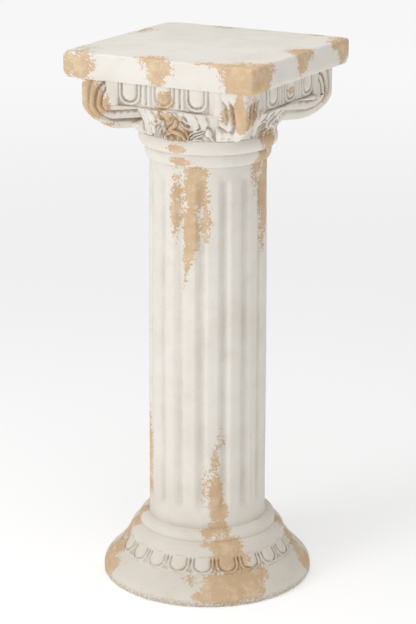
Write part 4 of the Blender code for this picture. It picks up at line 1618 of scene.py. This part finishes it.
def worn_places() -> list[Patch]:
    """The worn places, given region by region.

    Returns:
        The patches.
    """
    return [
        # slab
        Patch((-124, -150, 783), 26, 24, 0.80), Patch((-142, -150, 783), 10, 22, 0.85),
        Patch((4, -150, 790), 22, 12, 0.90), Patch((2, -150, 774), 15, 12, 0.80),
        Patch((-8, -150, 799), 25, 4, 0.80), Patch((127, -150, 783), 24, 26, 1.00),
        Patch((107, -150, 799), 18, 6, 0.90), Patch((77, -150, 799), 18, 3, 0.70),
        Patch((150, -125, 781), 25, 26, 1.00), Patch((146, -146, 782), 18, 30, 1.00),
        Patch((150, -95, 793), 11, 14, 0.60), Patch((150, 5, 796), 25, 11, 1.00),
        Patch((150, -4, 782), 14, 13, 0.90), Patch((150, 129, 787), 19, 23, 0.85),
        Patch((150, 105, 797), 14, 11, 0.80), Patch((-129, -116, 800), 22, 6, 0.50),
        Patch((-145, 26, 800), 14, 6, 0.45), Patch((15, 144, 800), 12, 6, 0.45),
        Patch((135, 133, 800), 16, 6, 0.55), Patch((121, -125, 800), 19, 6, 0.62),
        # volutes and egg band
        Patch((-112, -131, 722), 16, 20, 0.95), Patch((-86, -131, 716), 10, 9, 0.80),
        Patch((-118, -131, 728), 20, 28, 1.00), Patch((-122, -131, 740), 12, 20, 0.85),
        Patch((-131, -122, 722), 14, 30, 0.90), Patch((-98, -131, 722), 14, 16, 0.85),
        Patch((-110, -131, 703), 14, 10, 0.85), Patch((96, -131, 722), 5, 20, 0.85),
        Patch((120, -131, 722), 13, 30, 1.00), Patch((131, -112, 722), 14, 22, 0.85),
        Patch((-95, -120, 692), 22, 6, 0.70), Patch((120, -131, 736), 8, 23, 0.95),
        Patch((107, -131, 728), 8, 20, 0.70), Patch((94, -131, 725), 6, 17, 0.60),
        Patch((131, -110, 734), 11, 20, 0.80), Patch((131, -87, 721), 8, 14, 0.70),
        Patch((131, 115, 719), 8, 20, 0.60), Patch((131, 102, 700), 14, 10, 0.50),
        Patch((4, -131, 740), 12, 13, 0.85), Patch((-7, -131, 726), 12, 6, 0.80),
        Patch((131, -2, 746), 8, 7, 0.75), Patch((131, -23, 717), 14, 8, 0.75),
        # bell and neck
        Patch((-4, -112, 712), 18, 9, 0.95), Patch((6, -104, 690), 20, 13, 0.90),
        Patch((-1, -106, 698), 14, 9, 0.80), Patch((13, -102, 686), 13, 9, 0.90),
        Patch((-10, -102, 684), 11, 7, 0.75), Patch((19, -103, 698), 8, 4, 0.80),
        Patch((-37, -99, 699), 4, 6, 0.60), Patch((4, -100, 666), 14, 7, 0.90),
        Patch((5, -91, 647), 18, 6, 0.90), Patch((92, -1, 656), 8, 18, 0.85),
        Patch((99, -20, 682), 7, 15, 0.70),
        # shaft
        Patch((24, -82, 608), 16.5, 29, 1.00), Patch((18, -83, 545), 11, 36, 1.00),
        Patch((-6, -85, 585), 10, 48, 0.72), Patch((38, -76, 557), 8, 24, 0.80),
        Patch((84, 16, 600), 13, 60, 1.00), Patch((97, -2, 672), 15, 16, 1.00),
        Patch((85, -8, 640), 13, 14, 0.90), Patch((22, -84, 607), 12, 31, 1.00),
        Patch((18, -84, 556), 12, 25, 0.95), Patch((12, -86, 507), 9, 20, 0.90),
        Patch((-1, -87, 583), 13, 39, 0.62), Patch((35, -79, 586), 12, 42, 0.60),
        Patch((8, -86, 467), 6, 14, 0.50), Patch((26, -83, 633), 17, 8, 0.80),
        Patch((87, -6, 656), 10, 31, 0.90), Patch((87, 5, 589), 9, 39, 0.90),
        Patch((87, 7, 529), 8, 25, 0.70), Patch((85, -15, 629), 9, 31, 0.60),
        Patch((52, -68, 141), 10.5, 37, 1.00), Patch((51, -70, 200), 7, 23, 0.70),
        Patch((59, -64, 234), 9, 20, 0.50), Patch((41, -76, 157), 10, 34, 0.55),
        Patch((-68, -53, 200), 7, 56, 0.75), Patch((-68, -53, 140), 7, 23, 0.75),
        # foot
        Patch((-79, -50, 98), 12, 12, 0.80), Patch((-90, -56, 84), 14, 12, 0.90),
        Patch((-103, -60, 62), 18, 14, 0.95), Patch((-117, -63, 43), 20, 12, 0.95),
        Patch((-130, -66, 30), 16, 10, 0.80), Patch((59, -63, 121), 10, 13, 0.90),
        Patch((56, -70, 99), 13, 12, 0.95), Patch((76, -76, 77), 20, 12, 1.00),
        Patch((86, -81, 57), 24, 12, 1.00), Patch((105, -92, 33), 31, 18, 1.00),
        Patch((77, -117, 33), 20, 12, 0.80), Patch((98, -121, 16), 31, 12, 0.95),
        Patch((42, -129, 37), 14, 4, 0.60), Patch((124, -58, 36), 11, 15, 0.80),
        Patch((66, -138, 15), 15, 8, 0.80), Patch((72, -124, 27), 14, 8, 0.85),
        Patch((62, -68, 94), 13, 7, 0.90), Patch((124, -86, 20), 18, 12, 0.95),
        Patch((-100, -112, 22), 14, 16, 0.95), Patch((-118, -91, 24), 18, 16, 0.95),
        Patch((-98, -84, 45), 12, 10, 0.80), Patch((-83, -66, 80), 11, 10, 0.85),
        Patch((145, 40, 22), 14, 16, 0.85), Patch((48, -132, 33), 14, 5, 0.60),
        Patch((78, -80, 66), 18, 12, 1.00), Patch((46, -82, 90), 10, 9, 0.95),
        Patch((60, -86, 76), 12, 8, 0.95), Patch((70, -94, 56), 14, 12, 0.90),
        Patch((-122, -98, 18), 22, 18, 1.00), Patch((141, 50, 24), 16, 20, 1.00),
        Patch((-82, -52, 90), 12, 12, 0.95), Patch((-106, -80, 40), 16, 14, 0.90),
        Patch((137, 56, 30), 18, 18, 0.90), Patch((113, 64, 44), 14, 12, 0.80),
        Patch((48, -95, 78), 7, 6, 0.60), Patch((96, 45, 78), 14, 12, 0.75),
        Patch((110, 52, 55), 16, 14, 0.90),
        # sides that the photograph hides
        Patch((-150, 60, 790), 26, 14, 0.95), Patch((-50, 150, 783), 30, 18, 1.00),
        Patch((100, 150, 785), 18, 20, 0.90), Patch((-131, 120, 725), 14, 26, 0.95),
        Patch((60, 65, 520), 16, 50, 0.90), Patch((-40, 78, 300), 14, 45, 0.85),
        Patch((-86, 10, 420), 12, 60, 0.80), Patch((-60, 125, 36), 34, 20, 1.00),
        Patch((30, 100, 85), 24, 16, 0.95),
    ]


@dataclass
class WearAndShade:
    """Where the paint is gone, and crevices for soiling and painted shade, kept as attributes of
    the mesh.
    """

    patches: list[Patch] = field(default_factory=worn_places)
    sound: float = -0.62
    worn: float = 2.15
    core: float = 0.35
    rim: float = 1.85
    hollow_reach: int = 16
    hollow_ease: float = 0.65
    hollow_edge: float = 0.0060
    hollow_full: float = 0.0010
    hollow_start: float = 0.08
    capital_full: float = 0.0008
    capital_from: float = 0.6760
    rinsed: float = 0.25
    slim: tuple[float, float] = (0.1180, 0.1150)
    above_ring: tuple[float, float] = (0.0610, 0.0640)
    below_capital: tuple[float, float] = (0.6790, 0.6740)
    below_ring: tuple[float, float] = (0.0445, 0.0420)

    def bare(self, points: np.ndarray) -> np.ndarray:
        """How bare each place is, before the flakes' own noise.

        Args:
            points: places, one row each.

        Returns:
            Numbers from sound paint up; the paint goes at about 0.5.
        """
        total = np.full(len(points), self.sound)
        for patch in self.patches:
            away = points - np.array(patch.place) * MM
            level = np.hypot(away[:, 0], away[:, 1]) / (patch.across * MM)
            far = np.hypot(level, away[:, 2] / (patch.up * MM))
            cover = 1.0 - smooth(self.core, self.rim, far)
            total = np.maximum(total, self.sound + self.worn * patch.strength * cover)
        return total

    def evened(self, mesh: bpy.types.Mesh, points: np.ndarray) -> np.ndarray:
        """Places of the same mesh with its carving smoothed away.

        Args:
            mesh: the finished mesh.
            points: its places.

        Returns:
            The smoothed places.
        """
        pairs = np.empty(len(mesh.edges) * 2, np.int64)
        mesh.edges.foreach_get("vertices", pairs)
        pairs = pairs.reshape(-1, 2)
        span = np.linalg.norm(points[pairs[:, 0]] - points[pairs[:, 1]], axis=1)
        pairs = pairs[span < self.hollow_edge]
        count = np.bincount(pairs.ravel(), minlength=len(points)).astype(float)
        count = np.maximum(count, 1.0)[:, None]
        even = points.copy()
        for _ in range(self.hollow_reach):
            total = np.zeros_like(even)
            for axis in range(3):
                for here, there in ((0, 1), (1, 0)):
                    total[:, axis] += np.bincount(pairs[:, here], even[pairs[:, there], axis],
                                                  len(points))
            mean = np.where(count > 1.5, total / count, even)
            even = (1.0 - self.hollow_ease) * even + self.hollow_ease * mean
        return even

    def plain(self, points: np.ndarray) -> np.ndarray:
        """Where the crevices' soiling and painted shade are kept weaker: 1 on the shaft, rolls,
        neck and dome.

        Args:
            points: places, one row each.

        Returns:
            Numbers from 0 to 1.
        """
        height = points[:, 2]
        slim = smooth(*self.slim, np.hypot(points[:, 0], points[:, 1]))
        between = smooth(*self.above_ring, height) * smooth(*self.below_capital, height)
        return np.maximum(slim * between, smooth(*self.below_ring, height))

    def crevices(self, mesh: bpy.types.Mesh, points: np.ndarray) -> np.ndarray:
        """How deep each place lies in a hollow.

        Args:
            mesh: the finished mesh.
            points: its places.

        Returns:
            Numbers from 0 to 1.
        """
        normals = read_vectors(mesh.vertex_normals, "vector")
        depth = ((self.evened(mesh, points) - points) * normals).sum(1)
        full = np.where(points[:, 2] > self.capital_from, self.capital_full, self.hollow_full)
        # painted shade: on the plain parts the crevice darkening, soiling and shade alike, is kept
        # weaker
        share = 1.0 - (1.0 - self.rinsed) * self.plain(points)
        return np.clip(depth / full - self.hollow_start, 0.0, 1.0) * share

    def apply(self, mesh: bpy.types.Mesh) -> None:
        """Write both attributes."""
        points = read_vectors(mesh.vertices, "co")
        for name, values in (("bare", self.bare(points)),
                             ("crevice", self.crevices(mesh, points))):
            layer = mesh.attributes.new(name, "FLOAT", "POINT")
            layer.data.foreach_set("value", values.astype(np.float32))


# The whole casting


@dataclass
class Casting:
    """The whole casting as one closed mesh."""

    finish: WornWhitewash = field(default_factory=WornWhitewash)
    wear: WearAndShade = field(default_factory=WearAndShade)
    crease: float = math.radians(42.0)
    waves: tuple[tuple[float, float, int], ...] = ((0.00030, 60.0, 11), (0.00022, 170.0, 12))
    still_foot: tuple[float, float] = (0.0, 0.0040)
    still_top: tuple[float, float] = (0.8000, 0.7975)

    def volutes(self) -> list[bpy.types.Mesh]:
        """The four corner volutes with their knobs.

        Returns:
            The meshes.
        """
        made = []
        for volute in (
                Volute(Corner.NEAR, 1.15, outer_channels=(0.1, 1.0), fade=(0.016, 0.027)),
                Volute(Corner.RIGHT, 0.7, edge=0.1320, turn_z=0.7215, bottom=0.6835, bulge=1.2),
                Volute(Corner.BACK, 0.8),
                Volute(Corner.LEFT, edge=0.1306)):
            made += [volute.mesh(), *volute.eyes()]
        return made

    def shapes(self, material: bpy.types.Material) -> list[bpy.types.Mesh]:
        """Build every closed shape.

        Args:
            material: the finish.

        Returns:
            The meshes, the turned core first.
        """
        makers = {"turned core": lambda: [TurnedCore().mesh()],
                  "fluted shaft": lambda: [FlutedShaft().mesh(material)],
                  "foot ring": lambda: [FootRing().mesh(material)],
                  "egg band": lambda: EggBand().meshes(material),
                  "volutes": self.volutes,
                  "leafy bell": lambda: [LeafyBell().mesh()],
                  "slab": lambda: [Slab().mesh()]}
        made: list[bpy.types.Mesh] = []
        for name, make in makers.items():
            made += make()
            LOG.info("%s built", name)
        return made

    def joined(self, meshes: list[bpy.types.Mesh]) -> bpy.types.Mesh:
        """Join closed shapes into one closed mesh.

        Args:
            meshes: the shapes.

        Returns:
            The mesh.
        """
        scene = bpy.context.scene.collection
        extra = bpy.data.collections.new("joined_shapes")
        scene.children.link(extra)
        objects = []
        for index, mesh in enumerate(meshes):
            obj = bpy.data.objects.new("shape_%02d" % index, mesh)
            (scene if index == 0 else extra).objects.link(obj)
            objects.append(obj)
        union = objects[0].modifiers.new("Join", "BOOLEAN")
        union.operation = "UNION"
        union.solver = "MANIFOLD"
        union.operand_type = "COLLECTION"
        union.collection = extra
        depsgraph = bpy.context.evaluated_depsgraph_get()
        result = bpy.data.meshes.new_from_object(objects[0].evaluated_get(depsgraph))
        for obj in objects:
            bpy.data.objects.remove(obj, do_unlink=True)
        bpy.data.collections.remove(extra)
        return result

    def build(self) -> bpy.types.Object:
        """Build and dress the casting.

        Returns:
            The finished object.
        """
        material = self.finish.material()
        mesh = self.joined(self.shapes(material))
        mesh.name = "pedestal_casting"
        mesh.materials.clear()
        mesh.materials.append(material)
        self.soften(mesh)
        self.wear.apply(mesh)
        mesh.shade_smooth()
        mesh.set_sharp_from_angle(angle=self.crease)
        piece = bpy.data.objects.new("pedestal_casting", mesh)
        bpy.context.scene.collection.objects.link(piece)
        mesh.calc_loop_triangles()
        LOG.info("casting: %d triangles, open edges %d", len(mesh.loop_triangles),
                 open_edges(mesh))
        return piece

    def soften(self, mesh: bpy.types.Mesh) -> None:
        """Press faint casting waves into the surface, always inwards."""
        points = read_vectors(mesh.vertices, "co")
        normals = read_vectors(mesh.vertex_normals, "vector")
        wave = sum(depth * lattice_noise(points, scale, seed)
                   for depth, scale, seed in self.waves)
        keep = smooth(*self.still_foot, points[:, 2]) * smooth(*self.still_top, points[:, 2])
        moved = points - normals * (wave * keep)[:, None]
        mesh.vertices.foreach_set("co", moved.ravel())
        mesh.update()


def open_edges(mesh: bpy.types.Mesh) -> int:
    """Number of edges without exactly two faces."""
    loops = np.empty(len(mesh.loops), np.int64)
    mesh.loops.foreach_get("edge_index", loops)
    return int((np.bincount(loops, minlength=len(mesh.edges)) != 2).sum())


# Camera, floor and light


@dataclass(frozen=True)
class Lamp:
    """Soft square light: its name, place, side in metres and power in watts."""

    name: str
    place: tuple[float, float, float]
    size: float
    power: float

    def build(self, aim: Sequence[float]) -> None:
        """Hang the light and turn it to the place that it lights."""
        data = bpy.data.lights.new(self.name, "AREA")
        data.shape = "SQUARE"
        data.size = self.size
        data.energy = self.power
        made = bpy.data.objects.new(self.name, data)
        way = Vector(aim) - Vector(self.place)
        made.matrix_world = (Matrix.Translation(self.place)
                             @ way.to_track_quat("-Z", "Y").to_matrix().to_4x4())
        bpy.context.scene.collection.objects.link(made)


@dataclass(frozen=True)
class Studio:
    """Pale floor, soft light and the camera."""

    azimuth: float = math.radians(28.695)
    elevation: float = math.radians(16.668)
    roll: float = math.radians(0.143)
    camera_place: tuple = (1.4363, -2.6234, 1.2985)
    lens: float = 122.45
    sensor: float = 36.0
    floor_half: float = 14.0
    floor_grey: float = 0.93
    glow_from: float = 0.6
    glow_to: float = 4.5
    near_glow: float = 0.30
    far_glow: float = 0.50
    sky: float = 0.45
    aim: tuple[float, float, float] = (0.0, 0.0, 0.42)
    lamps: tuple[Lamp, ...] = (Lamp("key", (-1.02, -2.28, 1.35), 1.0, 16.0),
                               Lamp("overhead", (0.1, -0.5, 2.3), 1.4, 14.0))

    def camera(self) -> None:
        """Make the camera at the photograph's angle."""
        data = bpy.data.cameras.new("camera")
        data.lens = self.lens
        data.sensor_width = self.sensor
        data.sensor_height = self.sensor
        data.sensor_fit = "VERTICAL"
        data.clip_start = 0.05
        data.clip_end = 60.0
        camera = bpy.data.objects.new("camera", data)
        back = Vector((math.sin(self.azimuth) * math.cos(self.elevation),
                       -math.cos(self.azimuth) * math.cos(self.elevation),
                       math.sin(self.elevation)))
        right = Vector((math.cos(self.azimuth), math.sin(self.azimuth), 0.0))
        basis = Matrix((right, back.cross(right), back)).transposed().to_4x4()
        turn = Matrix.Rotation(self.roll, 4, "Z")
        camera.matrix_world = Matrix.Translation(self.camera_place) @ basis @ turn
        bpy.context.scene.collection.objects.link(camera)
        bpy.context.scene.camera = camera

    def floor(self) -> bpy.types.Object:
        """Make the plain pale floor.

        Returns:
            The floor.
        """
        material = bpy.data.materials.new("pale_floor")
        material.use_nodes = True
        graph = Graph(material.node_tree)
        place = graph.node("ShaderNodeTexCoord").outputs["Object"]
        away = graph.node("ShaderNodeVectorMath", {0: place}, operation="LENGTH").outputs["Value"]
        glow = graph.ramp(away, self.glow_from, self.glow_to, self.near_glow, self.far_glow)
        grey = (self.floor_grey, self.floor_grey, self.floor_grey, 1.0)
        shader = material.node_tree.nodes["Principled BSDF"]
        for socket, value in (("Base Color", grey), ("Roughness", 0.9),
                              ("Emission Color", (1.0, 1.0, 1.0, 1.0)),
                              ("Emission Strength", glow)):
            graph.put(shader, socket, value)
        half = self.floor_half
        mesh = bpy.data.meshes.new("floor")
        mesh.from_pydata([(-half, -half, 0.0), (half, -half, 0.0), (half, half, 0.0),
                          (-half, half, 0.0)], [], [(0, 1, 2, 3)])
        mesh.materials.append(material)
        made = bpy.data.objects.new("floor", mesh)
        bpy.context.scene.collection.objects.link(made)
        return made

    def build(self) -> None:
        """Make the camera, floor, lights and surroundings."""
        self.camera()
        self.floor()
        for lamp in self.lamps:
            lamp.build(self.aim)
        world = bpy.data.worlds.new("surroundings")
        world.use_nodes = True
        sky = world.node_tree.nodes["Background"]
        sky.inputs["Color"].default_value = (1.0, 1.0, 1.0, 1.0)
        sky.inputs["Strength"].default_value = self.sky
        bpy.context.scene.world = world
        bpy.context.scene.view_settings.view_transform = "Standard"


def main() -> None:
    """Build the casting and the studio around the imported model."""
    logging.basicConfig(level=logging.INFO, format="%(message)s")
    Studio().build()
    piece = Casting().build()
    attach(piece, "root")
    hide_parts("pedestal")


if __name__ == "__main__":
    main()
